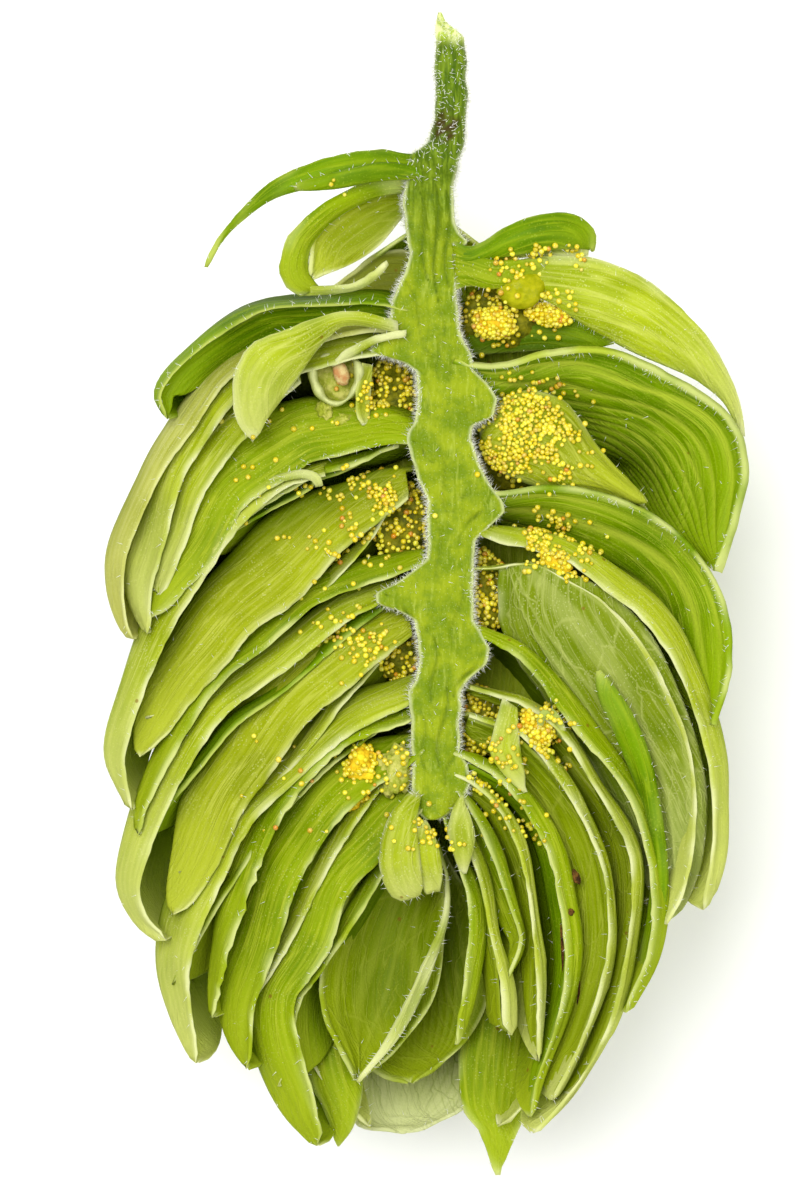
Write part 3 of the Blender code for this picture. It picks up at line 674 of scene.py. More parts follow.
rightBracts = [
    dict(node="bract_right_big", width=9.0, turn=88, look="ribbed", ribs=13, paintedShadeDepth=13.0, band=0.3,
         tilt=3.4, ribHeight=0.16, hairy=4.0,
         rim=[(1.2, 9.6), (2.2, 9.4), (3.6, 9.4), (5.1, 9.8), (7.3, 9.9), (9.9, 8.7), (12.1, 7.1),
              (12.9, 5.2), (12.5, 3.4), (11.6, 1)]),
    dict(node="bract_right_ribbed", width=7.0, turn=80, look="ribbed", ribs=11, paintedShadeDepth=9.0,
         band=0.18, tilt=2.6, ribHeight=0.14, hairy=4.0,
         rim=[(1.8, 4.4), (3, 4.1), (4.7, 4.4), (6.3, 4.3), (8.4, 3.5), (10.2, 2.2), (11.8, 0),
              (12.3, -2.6), (11.6, -5.2)]),
    dict(node="bracteole_right_dusted", width=5.5, turn=75, look="pale", lip=0.8, tuck=0.3,
         tuckDepth=0.7,
         rim=[(1.9, 2.9), (3, 2.6), (4.4, 2.5), (5.9, 2.1), (7.6, 0.7), (9.3, -0.7), (10.6, -2.4),
              (11.5, -4.4), (12, -7.4), (11.9, -9.8), (11, -12.6)]),
    dict(node="bracteole_right_veined", width=5.5, turn=75, look="pale",
         rim=[(1.8, 1.2), (3, 1.2), (4.4, 1.4), (5.9, 0.6), (7.4, -0.6), (9.2, -2.8), (10.4, -5.6),
              (10.8, -8.6), (10.3, -11.6), (9.6, -13.2)]),
    dict(node="bract_right_strip", width=5.0, turn=75, look="fresh", lip=0.7, tuck=0.3, tuckDepth=0.5,
         hairy=3.0,
         rim=[(1.6, -1.2), (2.6, -1.6), (3.8, -2.1), (5, -3.1), (6.6, -4.8), (8, -6.8), (9.1, -9.4),
              (9.5, -11.6), (9.2, -14.4), (8, -16.6)]),
    dict(node="bract_right_low_1", width=5.0, turn=75, look="pale", lip=0.36, tuck=0.12, tuckDepth=0.4,
         face=(0.7, 1.2, "hollow"),
         rim=[(1.6, -3.6), (2.8, -3.8), (4.2, -4.2), (5.6, -5.2), (7, -7.4), (8.3, -9.8), (8.6, -12),
              (8.4, -14.2), (7.6, -17), (6.4, -19.2), (4.3, -21.3)]),
    dict(node="bract_right_low_2", width=4.5, turn=75, look="pale", lip=0.36, tuck=0.1, tuckDepth=0.4,
         blunt=0.5, hairy=2.0, face=(2.0, 1.5, "hollow"),
         rim=[(1.6, -4.6), (2.7, -4.9), (3.9, -5.3), (5.3, -6.7), (6.6, -8.8), (7.5, -11.2),
              (7.7, -13.8), (7.2, -16), (6.3, -18), (5.1, -19.9)]),
    dict(node="fan_bract_1", width=3.2, turn=60, look="fresh", lip=0.6, tuck=0.15, tuckDepth=0.4,
         hairy=3.0, face=(0.6, 1.2, "deep"),
         rim=[(1, -6.1), (2.2, -6.5), (3.5, -7.2), (4.6, -8.4), (5.7, -10.4), (6.3, -12.8), (6.3, -15),
              (5.7, -17.2), (4.7, -19.2), (4.2, -20.6)]),
    dict(node="fan_bract_2", width=2.4, turn=50, look="pale", lip=0.36, tuck=0.1, tuckDepth=0.4,
         face=(0.9, 1.2, "hollow"),
         rim=[(1, -7), (2, -7.4), (3.2, -8.4), (4.3, -10.5), (4.9, -13), (5, -15.4), (4.6, -18.4)]),
    dict(node="fan_bract_3", width=1.8, turn=45, look="fresh", lip=0.42, tuck=0.1, tuckDepth=0.4,
         face=(0.8, 0.9, "fresh"), hairy=2.0,
         rim=[(1.3, -7.6), (2, -8.4), (2.9, -9.9), (3.9, -12), (4.4, -13.8), (3.6, -15.4)]),
    dict(node="fan_bract_4", width=1.3, turn=50, look="pale", lip=0.55, tuck=0.1, tuckDepth=0.4,
         blunt=0.9, face=(0.8, 1.3, "hollow"),
         rim=[(1.2, -8.6), (1.8, -9.6), (2.7, -11.4), (3.3, -13.4), (3.6, -15.4), (3.5, -17.5)]),
    dict(node="fan_bract_5", width=1.0, turn=50, look="fresh", lip=0.8, tuck=0.1, tuckDepth=0.6,
         hairy=3.0,
         rim=[(0.9, -8.8), (1.7, -10.4), (2.4, -12), (2.7, -13.8), (2.3, -15.9), (1.2, -17.9)]),
]
print("cut bracts")
for side, bracts in ((-1, leftBracts), (1, rightBracts)):
    for number, spec in enumerate(bracts):
        spec = dict(spec)
        node = spec.pop("node")
        first, *words = node.split("_")
        pieceName = first + "".join(word.capitalize() for word in words)
        nested = spec.pop("nested", 0)
        cutBract(pieceName, side, nodes=(node,), seed=number * 11 + (side > 0) * 400, **spec)
        for inside in range(nested):
            # a thinner bract that lies inside this one and shows only its margin
            kind = (number + inside) % 3
            cutBract(f"{pieceName}Nested{inside + 1}", side, spec["rim"], spec["width"] * 0.8,
                     spec["turn"] - 8, ("pale", "fresh", "deep")[kind], lip=0.36, tuck=0.3, tuckDepth=0.5,
                     shift=spec["lip"] + 0.30 + sheet["nestedGap"] * inside, sink=0.40 + 0.35 * inside,
                     part=(0.03 + 0.03 * inside, 0.90 - 0.06 * kind),
                     seed=600 + number * 13 + inside * 5)


def wholeBract(name, left, right, sag, look, node=None, seed=0, **extra):
    # a bract between two margins, hollowed by its sag; z is measured from the cut face
    steps = max(16, round(smoothPath(left, 8)[1] / sheet["stepAlong"]))
    a, _ = smoothPath(left, steps)
    b, _ = smoothPath(right, steps)
    wide = np.linalg.norm(a - b, axis=1).max()
    columns = max(8, round(wide * 1.2 / sheet["stepAcross"]))
    across = np.linspace(0, 1, columns + 1)[None, :, None]
    grid = a[:, None] * (1 - across) + b[:, None] * across
    along = np.clip(np.linspace(0, 1, steps + 1), 0.02, 0.98)
    belly = (4 * across * (1 - across))[..., 0]
    grid[..., 2] += top - sag * belly * np.sin(along * math.pi)[:, None] ** 0.5
    sheetPiece(name, organic(grid), look, slotFor(look), (node,) if node else (), seed,
               bothMargins=True, footFree=True, **extra)


wholeBracts = [
    dict(name="bractLeftTop", node="bract_left_top", look="deep", sag=-0.25, hairy=3.0,
         left=[(0.6, 17.4, 0), (-0.6, 17.7, 0.2), (-2.2, 17.9, 0.4), (-4, 17.6, 0.4), (-5.7, 16.9, 0.3),
               (-7.3, 15.7, 0.2), (-8.3, 14.5, 0), (-8.8, 13.3, -0.2)],
         right=[(0.6, 16.8, 0.2), (-0.8, 16.9, 0.5), (-2.4, 16.7, 0.6), (-4.2, 16.5, 0.5),
                (-5.9, 16.1, 0.4), (-7.2, 15.2, 0.2), (-8.1, 14.3, 0), (-8.7, 13.3, -0.2)]),
    dict(name="bractLeftTopFold", look="deep", sag=-0.2, hairy=2.0, pale=0.4,
         left=[(-0.4, 17.3, 0.5), (-2, 17.4, 0.8), (-3.6, 17, 0.8), (-5.2, 16.6, 0.6)],
         right=[(-0.4, 16.8, 0.4), (-2, 16.7, 0.6), (-3.6, 16.4, 0.7), (-5.1, 16.4, 0.6)]),
    dict(name="bractLeftRolled", node="bract_left_rolled", look="fresh", sag=-0.35,
         left=[(-0.6, 17, -0.1), (-2, 16.9, 0.1), (-3.8, 16, 0.2), (-4.8, 15.2, 0.2), (-5.4, 14.5, 0.1),
               (-5.7, 13.5, 0), (-5.6, 12.7, -0.1), (-5, 12.1, -0.3)],
         right=[(-0.6, 16.4, -0.4), (-1.8, 16.2, -0.3), (-3, 15.6, -0.3), (-3.9, 14.9, -0.4),
                (-4.5, 14, -0.5), (-4.6, 13.2, -0.5), (-4.4, 12.7, -0.5), (-4.2, 12.4, -0.5)]),
    dict(name="bractLeftRolledBlade", look="dusty", sag=0.35,
         left=[(-0.7, 16.6, -0.5), (-2.2, 16.3, -0.4), (-3.4, 15.6, -0.4), (-4.4, 14.6, -0.4),
               (-4.7, 12.9, -0.5)],
         right=[(-0.7, 15.8, -0.9), (-1.2, 15.1, -0.8), (-2, 14.1, -0.7), (-3, 13.4, -0.6),
                (-4.5, 12.8, -0.5)]),
    dict(name="bractLeftRolledHook", look="pale", sag=-0.15,
         left=[(-4.9, 12.6, -0.4), (-4.1, 12.5, -0.2), (-3.1, 12.5, -0.1), (-2.3, 12.9, -0.1),
               (-1.75, 13.4, -0.1)],
         right=[(-5, 12.1, -0.5), (-4, 12.1, -0.4), (-2.9, 12.2, -0.3), (-2.2, 12.6, -0.3),
                (-1.7, 13.2, -0.2)]),
    dict(name="bractLeftDull", look="olive", sag=0.3,
         left=[(-0.7, 14, -1.6), (-1.9, 13.9, -1.3), (-3, 13.1, -1.2), (-3.9, 12.4, -1.2)],
         right=[(-0.7, 11.6, -1.8), (-1.8, 11.7, -1.5), (-2.9, 11.9, -1.3), (-3.9, 12.2, -1.2)]),
    dict(name="bractLeftFolded", node="bract_left_folded", look="pale", sag=-0.35, ribHeight=0.02,
         left=[(-1.4, 10.9, 0.4), (-3.3, 11.4, 0.8), (-4.6, 11.1, 1), (-5.6, 10.6, 1.1),
               (-6.7, 10.1, 1.1), (-7.4, 9.2, 1.1), (-7.6, 8.2, 1.1), (-7.4, 7, 1), (-6.7, 6.2, 0.9)],
         right=[(-1.3, 10.5, 0.3), (-3.2, 10.8, 0.6), (-3.9, 10.4, 0.8), (-4.5, 9.7, 0.9),
                (-5, 8.8, 0.9), (-5.5, 8, 0.9), (-6.1, 7.1, 0.9), (-6.4, 6.5, 0.9), (-6.7, 6.15, 0.9)]),
    dict(name="bractLeftScrap", look="dusty", sag=0.1,
         left=[(-2.6, 9.3, -0.1), (-2.75, 8.3, 0.1), (-2.7, 7.3, 0), (-2.5, 6.8, -0.2)],
         right=[(-2.2, 9.2, -0.3), (-2.2, 8.3, -0.3), (-2.2, 7.4, -0.4), (-2.3, 6.8, -0.4)]),
    dict(name="bractLeftScar", look="pale", sag=-0.1,
         left=[(-1, 10.6, 0.3), (-2.2, 10.4, 0.4), (-3.2, 9.9, 0.2), (-3.8, 9.3, -0.1)],
         right=[(-1, 10.3, 0.3), (-2.1, 10.1, 0.3), (-3, 9.6, 0.1), (-3.75, 9.2, -0.1)]),
    dict(name="bractLeftCurl", look="pale", sag=-0.15,
         left=[(-6.4, 4.6, -0.1), (-5.4, 4.95, 0.1), (-4.6, 5.1, 0.2), (-4.1, 4.9, 0.3),
               (-3.95, 4.5, 0.2)],
         right=[(-6.3, 4.3, -0.1), (-5.4, 4.6, 0.1), (-4.7, 4.75, 0.2), (-4.35, 4.6, 0.2),
                (-4.3, 4.4, 0.1)]),
    dict(name="bractTipLeft", shaded=False, look="fresh", sag=-0.3,
         left=[(-5.2, -14, -3.4), (-5, -18.6, -2.4), (-4.2, -20.6, -2), (-3.6, -22.1, -1.9)],
         right=[(-3.6, -14, -3.4), (-2.7, -18.8, -2.4), (-2.9, -20.9, -2), (-3.55, -22.1, -1.9)]),
    dict(name="bractTipCup", node="bract_tip_cup", look="hollow", paintedShadeDepth=5.5, ribs=5, sag=1.5,
         hairy=2.5,
         left=[(-1.6, -9.6, -1), (-3, -11.3, -0.9), (-4.1, -14, -0.8), (-4.1, -16.6, -0.9),
               (-3, -19.3, -1.2)],
         right=[(-0.6, -9.6, -1.2), (0.6, -11, -1.4), (0.9, -13.4, -1.4), (0.2, -16.4, -1.3),
                (-2.8, -19.4, -1.2)]),
    dict(name="bractTipCupMargin", look="pale", sag=-0.12, hairy=3.0,
         left=[(0.3, -9.8, -0.9), (0.75, -11.4, -0.7), (0.55, -13.4, -0.6), (-0.3, -15.3, -0.7),
               (-1.6, -17.5, -0.9), (-2.9, -19.3, -1.1)],
         right=[(0.55, -9.8, -1), (0.95, -11.6, -0.8), (0.85, -13.7, -0.7), (0.1, -15.8, -0.8),
                (-1.3, -17.8, -0.9), (-2.8, -19.4, -1.1)]),
    dict(name="bractTipBehind", node="bract_tip_behind", look="hollow", paintedShadeDepth=7.0, sag=0.7,
         left=[(-2.6, -11.4, -4), (-4.3, -14.4, -3.6), (-3.9, -17.6, -3.2), (-2.1, -19.3, -2.8),
               (-0.9, -19.6, -2.6)],
         right=[(0.8, -10.4, -3.6), (2.4, -13, -3.4), (2.7, -15.6, -3), (1.5, -17.9, -2.8),
                (-0.7, -19.55, -2.6)]),
    dict(name="bractTipVeined", shaded=False, node="bract_tip_veined", look="papery", sag=0.6,
         ribHeight=0.02,
         left=[(-1.8, -13.4, -5.8), (-3.2, -15.8, -5.4), (-3.6, -19, -4.4), (-2.9, -21.3, -3.8),
               (-1.2, -21.7, -3.6)],
         right=[(1.6, -13.4, -5.8), (3.4, -15.8, -5.2), (3.4, -18.6, -4.4), (1.8, -20.6, -3.8),
                (-0.6, -21.65, -3.6)]),
    dict(name="bractTipPointed", shaded=False, node="bract_tip_pointed", look="fresh", sag=-0.3,
         left=[(2.6, -11.6, -4.6), (1.3, -17.4, -3.8), (1.4, -20.4, -3.3), (2.2, -21.7, -3.1),
               (2.85, -23.4, -3)],
         right=[(4.8, -11.6, -4.6), (5, -17.2, -3.8), (4.4, -20.2, -3.3), (3.8, -21.7, -3.1),
                (2.95, -23.4, -3)]),
    dict(name="scaleStrigEnd", node="scale_strig_end", look="pale", sag=-0.3, hairy=1.5,
         left=[(-0.6, -7.9, 0.2), (-1.5, -8.9, 0.5), (-1.9, -10.6, 0.5), (-1.5, -11.9, 0.4),
               (-0.9, -12.1, 0.3)],
         right=[(-0.2, -8, 0.3), (-0.4, -9.2, 0.5), (-0.3, -10.6, 0.5), (-0.25, -11.6, 0.4),
                (-0.5, -12, 0.3)]),
    dict(name="scaleStrigEndRight", look="pale", sag=-0.15,
         left=[(-0.5, -9, 0.2), (-0.6, -9.9, 0.2), (-0.5, -10.9, 0.2), (-0.1, -11.9, 0.1)],
         right=[(0, -9, 0.2), (0.4, -9.8, 0.3), (0.6, -10.9, 0.3), (0.5, -11.8, 0.1)]),
    dict(name="scaleDiamond", look="pale", sag=-0.2, hairy=1.5,
         left=[(1.4, -8, 0.3), (0.95, -8.9, 0.4), (0.85, -9.5, 0.4), (1.1, -10.3, 0.4), (1.5, -11, 0.3)],
         right=[(1.5, -8, 0.3), (1.8, -8.9, 0.4), (1.95, -9.6, 0.4), (1.8, -10.3, 0.4), (1.55, -11, 0.3)]),
    dict(name="bractRightTop", node="bract_right_top", look="deep", sag=-0.4, hairy=2.5,
         left=[(0.9, 14.4, 0.1), (1.6, 14, 0.2), (2.4, 14.3, 0.2), (3.3, 14.9, 0.3), (4.7, 15.4, 0.3),
               (5.9, 15.4, 0.1), (6.6, 14.8, -0.1), (6.7, 13.9, -0.3)],
         right=[(0.9, 13.4, 0.2), (1.5, 13.3, 0.3), (2.4, 13.5, 0.3), (3.6, 13.7, 0.4),
                (4.7, 13.9, 0.3), (5.5, 14, 0.2), (6.1, 14, 0), (6.6, 13.9, -0.3)]),
    dict(name="bractRightPointed", node="bract_right_pointed", look="pale", sag=-0.5, hairy=1.5,
         left=[(1.4, 12.8, -0.4), (3, 13.4, -0.1), (4.8, 13.7, 0.1), (6.6, 13.6, 0.1), (8.4, 12.9, 0),
               (9.8, 11.9, -0.1), (11.2, 10.3, -0.3), (12.4, 8.2, -0.6), (12.85, 6.4, -0.9)],
         right=[(3.4, 12.3, -0.6), (4.4, 12, -0.4), (5.6, 11.5, -0.4), (6.8, 10.7, -0.5),
                (8.1, 9.9, -0.6), (9.4, 9.3, -0.6), (10.9, 8.6, -0.7), (12, 7.8, -0.8),
                (12.8, 6.4, -0.9)]),
    dict(name="bractRightTopFace", look="pale", sag=0.2, hairy=1.0,
         left=[(2.3, 14, 0.1), (3.6, 14.5, 0.2), (4.8, 14.6, 0.2), (5.8, 14.5, 0.1), (6.5, 14, -0.2)],
         right=[(2.4, 13.4, -0.1), (3.5, 13.6, 0.1), (4.6, 13.7, 0.1), (5.6, 13.7, 0), (6.5, 13.7, -0.2)]),
    dict(name="bractRightFoot", look="fresh", sag=-0.25, hairy=2.5, pale=0.4,
         left=[(0.9, 14.3, 0.2), (1.6, 13.9, 0.3), (2.6, 13.5, 0.3), (3.7, 13.5, 0.3), (4.9, 13.6, 0.2)],
         right=[(1, 12.2, 0.1), (1.7, 12.4, 0.1), (2.6, 12.3, 0.1), (3.6, 12.5, 0.1), (4.8, 13.1, 0.1)]),
    dict(name="bractRightBehind", look="deep", sag=-0.2,
         left=[(1.5, 10.6, -1.4), (3.4, 11.2, -1.2), (5.2, 11.3, -1.1), (6.6, 11, -1.1),
               (7.6, 10.3, -1.2)],
         right=[(1.6, 9.7, -1.6), (3.5, 9.8, -1.4), (5.2, 9.8, -1.3), (6.6, 9.8, -1.2),
                (7.6, 10.1, -1.2)]),
    dict(name="bracteoleRightSeed", node="bracteole_right_seed", look="dusty", sag=-0.9, hairy=1.0,
         left=[(2.1, 6.8, -1.2), (2.9, 7.8, -0.9), (3.9, 8.4, -0.7), (4.8, 8.3, -0.6), (5.6, 7.9, -0.6),
               (6.1, 7.1, -0.6), (6.5, 6.2, -0.5), (7.2, 5.3, -0.4), (8, 4.5, -0.3), (8.7, 3.8, -0.3)],
         right=[(2, 6.6, -1.3), (2.3, 5.8, -1.2), (2.9, 5.1, -1), (3.8, 4.7, -0.9), (4.7, 4.4, -0.8),
                (5.6, 4.3, -0.7), (6.4, 4.2, -0.6), (7.2, 4.05, -0.5), (7.9, 3.85, -0.4),
                (8.6, 3.7, -0.3)]),
    dict(name="bracteoleRightVeined", look="veined", sag=-0.5, ribs=5, ribHeight=0.12,
         left=[(3.1, 1.3, -0.4), (3, 0, -0.6), (2.95, -1.4, -0.8), (3.6, -2.7, -1), (5, -4.3, -1.2),
               (6.4, -6.5, -1.4), (7.6, -9, -1.4), (8.8, -11.5, -1.4), (9.6, -13, -1.4)],
         right=[(4.5, 1.5, -0.2), (6.2, 0.8, -0.2), (7.8, -0.4, -0.3), (9.4, -2.3, -0.3),
                (10.6, -4.9, -0.4), (11.2, -7.8, -0.5), (11, -10.4, -0.7), (10.4, -12.2, -1),
                (9.7, -13, -1.3)]),
    dict(name="bractRightBright", look="deep", sag=-0.4, hairy=1.5,
         left=[(6.8, -2.8, 0.1), (6.9, -3.8, 0), (7.5, -5.2, -0.1), (8.2, -7.2, -0.3),
               (8.7, -9.4, -0.5), (8.9, -11.8, -0.7), (8.6, -14.2, -0.9), (8.1, -16.6, -1.1)],
         right=[(6.85, -2.8, 0.1), (7.6, -3.6, 0.2), (8.3, -4.7, 0.2), (8.9, -6.4, 0.1), (9.3, -8.6, 0),
                (9.6, -11.2, -0.2), (9.3, -14, -0.5), (8.2, -16.6, -1)]),
    dict(name="bractRightNotched", look="pale", sag=-0.2, hairy=1.0,
         left=[(3, -4, 0.2), (2.75, -5.1, 0.2), (2.6, -6.1, 0.1), (3.2, -7, 0), (4, -7.8, -0.1)],
         right=[(3.7, -4.4, 0.2), (3.8, -5.3, 0.2), (3.9, -6.1, 0.1), (4.05, -6.9, 0), (4.1, -7.8, -0.1)]),
    # green walls deep inside, seen between the bract bases
    dict(name="innerWallLeft", shaded=False, look="hollow", sag=0.3, pale=0.0,
         left=[(0, 10.8, -2.7), (0.2, 5, -2.8), (0.2, -1, -2.8), (-0.2, -7.2, -2.7)],
         right=[(-4.2, 10.4, -3), (-4.8, 5, -3.2), (-4.8, -1, -3.2), (-4, -7.6, -3)]),
    dict(name="innerWallRight", shaded=False, look="hollow", sag=0.3, pale=0.0,
         left=[(1.4, 11.8, -2.5), (1.6, 6, -3), (1.4, 0, -2.7), (1, -7.4, -2.6)],
         right=[(5.6, 11.2, -2.8), (5.8, 6, -3.4), (5.6, 0, -3), (5.4, -7.4, -2.9)]),
    dict(name="bractRightCurl", look="fresh", sag=-0.15,
         left=[(4.55, -5, 0.1), (4.6, -4.6, 0.3), (4.9, -4.4, 0.3), (5.3, -4.6, 0.2), (5.7, -5.2, 0)],
         right=[(4.75, -5.1, 0), (4.85, -4.8, 0.1), (5, -4.7, 0.1), (5.2, -4.9, 0), (5.5, -5.4, -0.1)]),
]
print("whole bracts")
for number, spec in enumerate(wholeBracts):
    wholeBract(seed=800 + number * 13, **spec)

# round back, one row of overlapping bracts a line: foot and tip height, azimuths in degrees (90 is
# straight down) and half width
backBracts = [
    (15.2, 5.6, (62, 118), 4.2),
    (11.8, 1.0, (46, 90, 134), 5.2),
    (6.8, -4.2, (66, 114), 5.4),
    (2.0, -9.0, (44, 90, 136), 5.6),
    (-3.0, -13.2, (66, 114), 5.2),
    (-7.8, -17.0, (46, 90, 134), 4.8),
    (-12.2, -20.8, (66, 114), 3.6),
]
# side bracts close the flanks between the cut bracts and the back: foot, tip, azimuth, half width
sideBracts = [
    (12.4, 6.6, 34, 2.8), (12.4, 6.6, 146, 2.8), (8.6, 0.4, 34, 4.2), (8.6, 0.4, 146, 4.2),
    (4.2, -5.2, 30, 4.2), (4.2, -5.2, 150, 4.2), (-0.6, -10.4, 34, 4.2), (-0.6, -10.4, 146, 4.2),
    (-5.4, -14.6, 30, 4.0), (-5.4, -14.6, 150, 4.0), (-9.6, -18.6, 34, 3.6), (-9.6, -18.6, 146, 3.6),
    (-14.0, -21.4, 30, 2.4), (-14.0, -21.4, 150, 2.4),
]
backSheet = {
    "raise": 1.25,      # mm by which a foot lies inside the cone, under the tips of the row above
    "tuckIn": 0.25,     # how much a tip leans in
    "tipFrom": 0.75,    # share of the length where the tip begins
    "curve": 0.22,      # mm by which the side margins lie deeper than the middle
    "widest": 0.8,      # radians
    "steepest": (4, 176),   # degrees, so that no margin passes the cut face
    "thickness": 0.18,
}


def backBract(name, nodes, foot, tip, azimuth, halfWidth, look, seed):
    steps = round((foot - tip) / sheet["stepAlong"])
    along = np.linspace(0, 1, steps + 1)
    y = foot + (tip - foot) * along
    tipFrom = backSheet["tipFrom"]
    radius = coneRadius(y) - backSheet["raise"] * (1 - np.minimum(1, along / tipFrom))
    radius = radius - backSheet["tuckIn"] * np.maximum(0, along - tipFrom)
    half = np.minimum(np.maximum(halfWidth * leafWidth(along, 1.25), 0.04) / radius, backSheet["widest"])
    across = np.linspace(-1, 1, round(halfWidth * 2 / sheet["stepAcross"] / 1.4))
    lift = backSheet["curve"] * across[None, :] ** 2
    lowest, highest = np.radians(backSheet["steepest"])
    turn = np.clip(math.radians(azimuth) + half[:, None] * across, lowest, highest)
    grid = coneLaw((radius[:, None] - lift), y[:, None], turn)
    sheetPiece(name, organic(grid), look, "bract_back", nodes, seed, thickness=backSheet["thickness"],
               shaded=False, bothMargins=True)


print("back bracts")
for level, (foot, tip, azimuths, halfWidth) in enumerate(backBracts, 1):
    for column, azimuth in enumerate(azimuths, 1):
        backBract(f"backBract{level}{'abc'[column - 1]}", (f"back_bract_{level}_{column}",), foot, tip,
                  azimuth, halfWidth, ("fresh", "pale")[(level + column) % 2],
                  1200 + level * 31 + column * 7)
for number, (foot, tip, azimuth, halfWidth) in enumerate(sideBracts):
    backBract(f"sideBract{number + 1}", (), foot, tip, azimuth, halfWidth, ("pale", "fresh")[number // 2 % 2],
              1500 + number * 17)

# strig and stalk

strig = {
    # left and right outline of the cut stem, from the torn tip of the stalk down
    "left": [(0.52, 23.4), (0.4, 22.9), (0.36, 21.5), (0.36, 19.2), (0.1, 18.2), (-0.25, 17.9),
             (-0.7, 17.7), (-0.9, 17.2), (-0.8, 16.6), (-0.95, 15.9), (-0.85, 14.9),
             (-0.6, 13.8), (-0.9, 12.9), (-1.4, 11.8), (-1.5, 10.9), (-2, 10.3), (-2.3, 9.8),
             (-0.9, 9.4), (-0.4, 9), (-0.35, 8), (-0.4, 7), (-0.75, 6.6), (-0.8, 6.2),
             (-0.5, 5.4), (-0.3, 4.6), (0.05, 3.9), (0.08, 2.6), (0, 1.5), (-0.6, 1),
             (-1.3, 0.5), (-2, 0.2), (-2, -0.3), (-1.2, -0.5), (-0.5, -0.9), (-0.3, -1.6),
             (-0.3, -2.6), (-0.45, -3.4), (-0.7, -3.8), (-0.6, -5), (-0.56, -6.5),
             (-0.6, -7.6), (-0.5, -8.1), (-0.3, -8.7), (0.1, -9)],
    "right": [(0.6, 23.4), (0.8, 23), (1.2, 22.7), (1.55, 22.4), (1.6, 21.5), (1.64, 19.6), (1.5, 17.9),
              (1.25, 17.2), (1.1, 16.2), (1.15, 15), (1.36, 14.5), (1.7, 14.2), (1.25, 13.8),
              (1.25, 12.4), (1.3, 11), (1.55, 10.2), (1.8, 9.7), (1.9, 9.1), (2.5, 8.5),
              (2.84, 7.9), (2.72, 7.2), (1.9, 6.9), (1.8, 6.3), (2.1, 5.5), (2.45, 4.7),
              (2.7, 4.3), (3.1, 3.8), (3.2, 3.4), (2.6, 2.9), (2, 2.3), (1.92, 1.6),
              (1.9, 0.2), (1.95, -1), (2.3, -1.6), (2.6, -2), (2.4, -2.7), (1.7, -3.3),
              (1.4, -3.8), (1.36, -5), (1.36, -6.2), (1.7, -6.7), (1.8, -7.4), (1.5, -8.1),
              (0.9, -8.7), (0.3, -9)],
    "raise": 0.17,            # mm by which the cut stem stands above the cut face
    "depth": 1.35,            # how deep the round back of the stem goes
    "stalkFrom": (15.8, 18.2),   # between these heights the flat cut stem becomes the round stalk
    "scar": (0.75, 18.8, 0.5, 0.5),
    "pith": (22.0, 23.2),
    # where the margins beside the pockets are furry: height and half length
    "furLeft": [(16.5, 1.6), (12.0, 1.0), (8.4, 1.4), (2.8, 1.9), (-2.1, 1.5), (-6.5, 0.8), (20.5, 3.5)],
    "furRight": [(11.6, 1.9), (5.9, 1.3), (0.4, 1.8), (-4.7, 1.6), (-8.2, 1.0), (20.0, 4.5)],
    # fibre grooves: start x, y, end x, y and strength
    "grooves": [(-0.3, 16.4, 0.1, 12.6, 0.8), (0.3, 16.8, 0.5, 11.8, 0.9), (0.8, 16.2, 0.9, 12.4, 0.7),
                (-0.8, 12.6, 0.2, 9.6, 0.6), (0.6, 11.4, 0.5, 8.6, 0.5),
                (1.2, 10.6, 1, 8.2, 0.4), (-0.2, 9, 0.4, 6.8, 0.4),
                (-0.5, 6.2, 0.3, 5.4, 0.8), (2.2, 8, 1.2, 6.8, 0.5),
                (0.5, 6.2, 0.9, 3.2, 0.5), (2.6, 4.2, 1.3, 2.2, 0.9),
                (1.9, 4.6, 1.1, 3.4, 0.6), (0.4, 3, 0.6, 0.4, 0.4),
                (-1.6, 0.1, 0.1, -1.4, 0.9), (1.4, 0.6, 1.1, -1.8, 0.5),
                (2.2, -2.2, 1.1, -4, 0.9), (0.3, -1.6, 0.3, -4.4, 0.6),
                (0.8, -3.4, 0.5, -6.8, 0.7), (-0.2, -4.6, 0, -7, 0.5),
                (1.2, -5.6, 0.8, -7.6, 0.6)],
}


def toSegment(x, y, groove):
    x0, y0, x1, y1, strength = groove
    run = ((x - x0) * (x1 - x0) + (y - y0) * (y1 - y0)) / ((x1 - x0) ** 2 + (y1 - y0) ** 2)
    t = np.clip(run, 0, 1)
    bend = 0.14 * np.sin(t * math.pi * 2)
    gap = np.hypot(x - x0 - t * (x1 - x0) - bend, y - y0 - t * (y1 - y0))
    return strength * np.exp(-(gap / (0.035 + 0.06 * np.sin(t * math.pi))) ** 2)


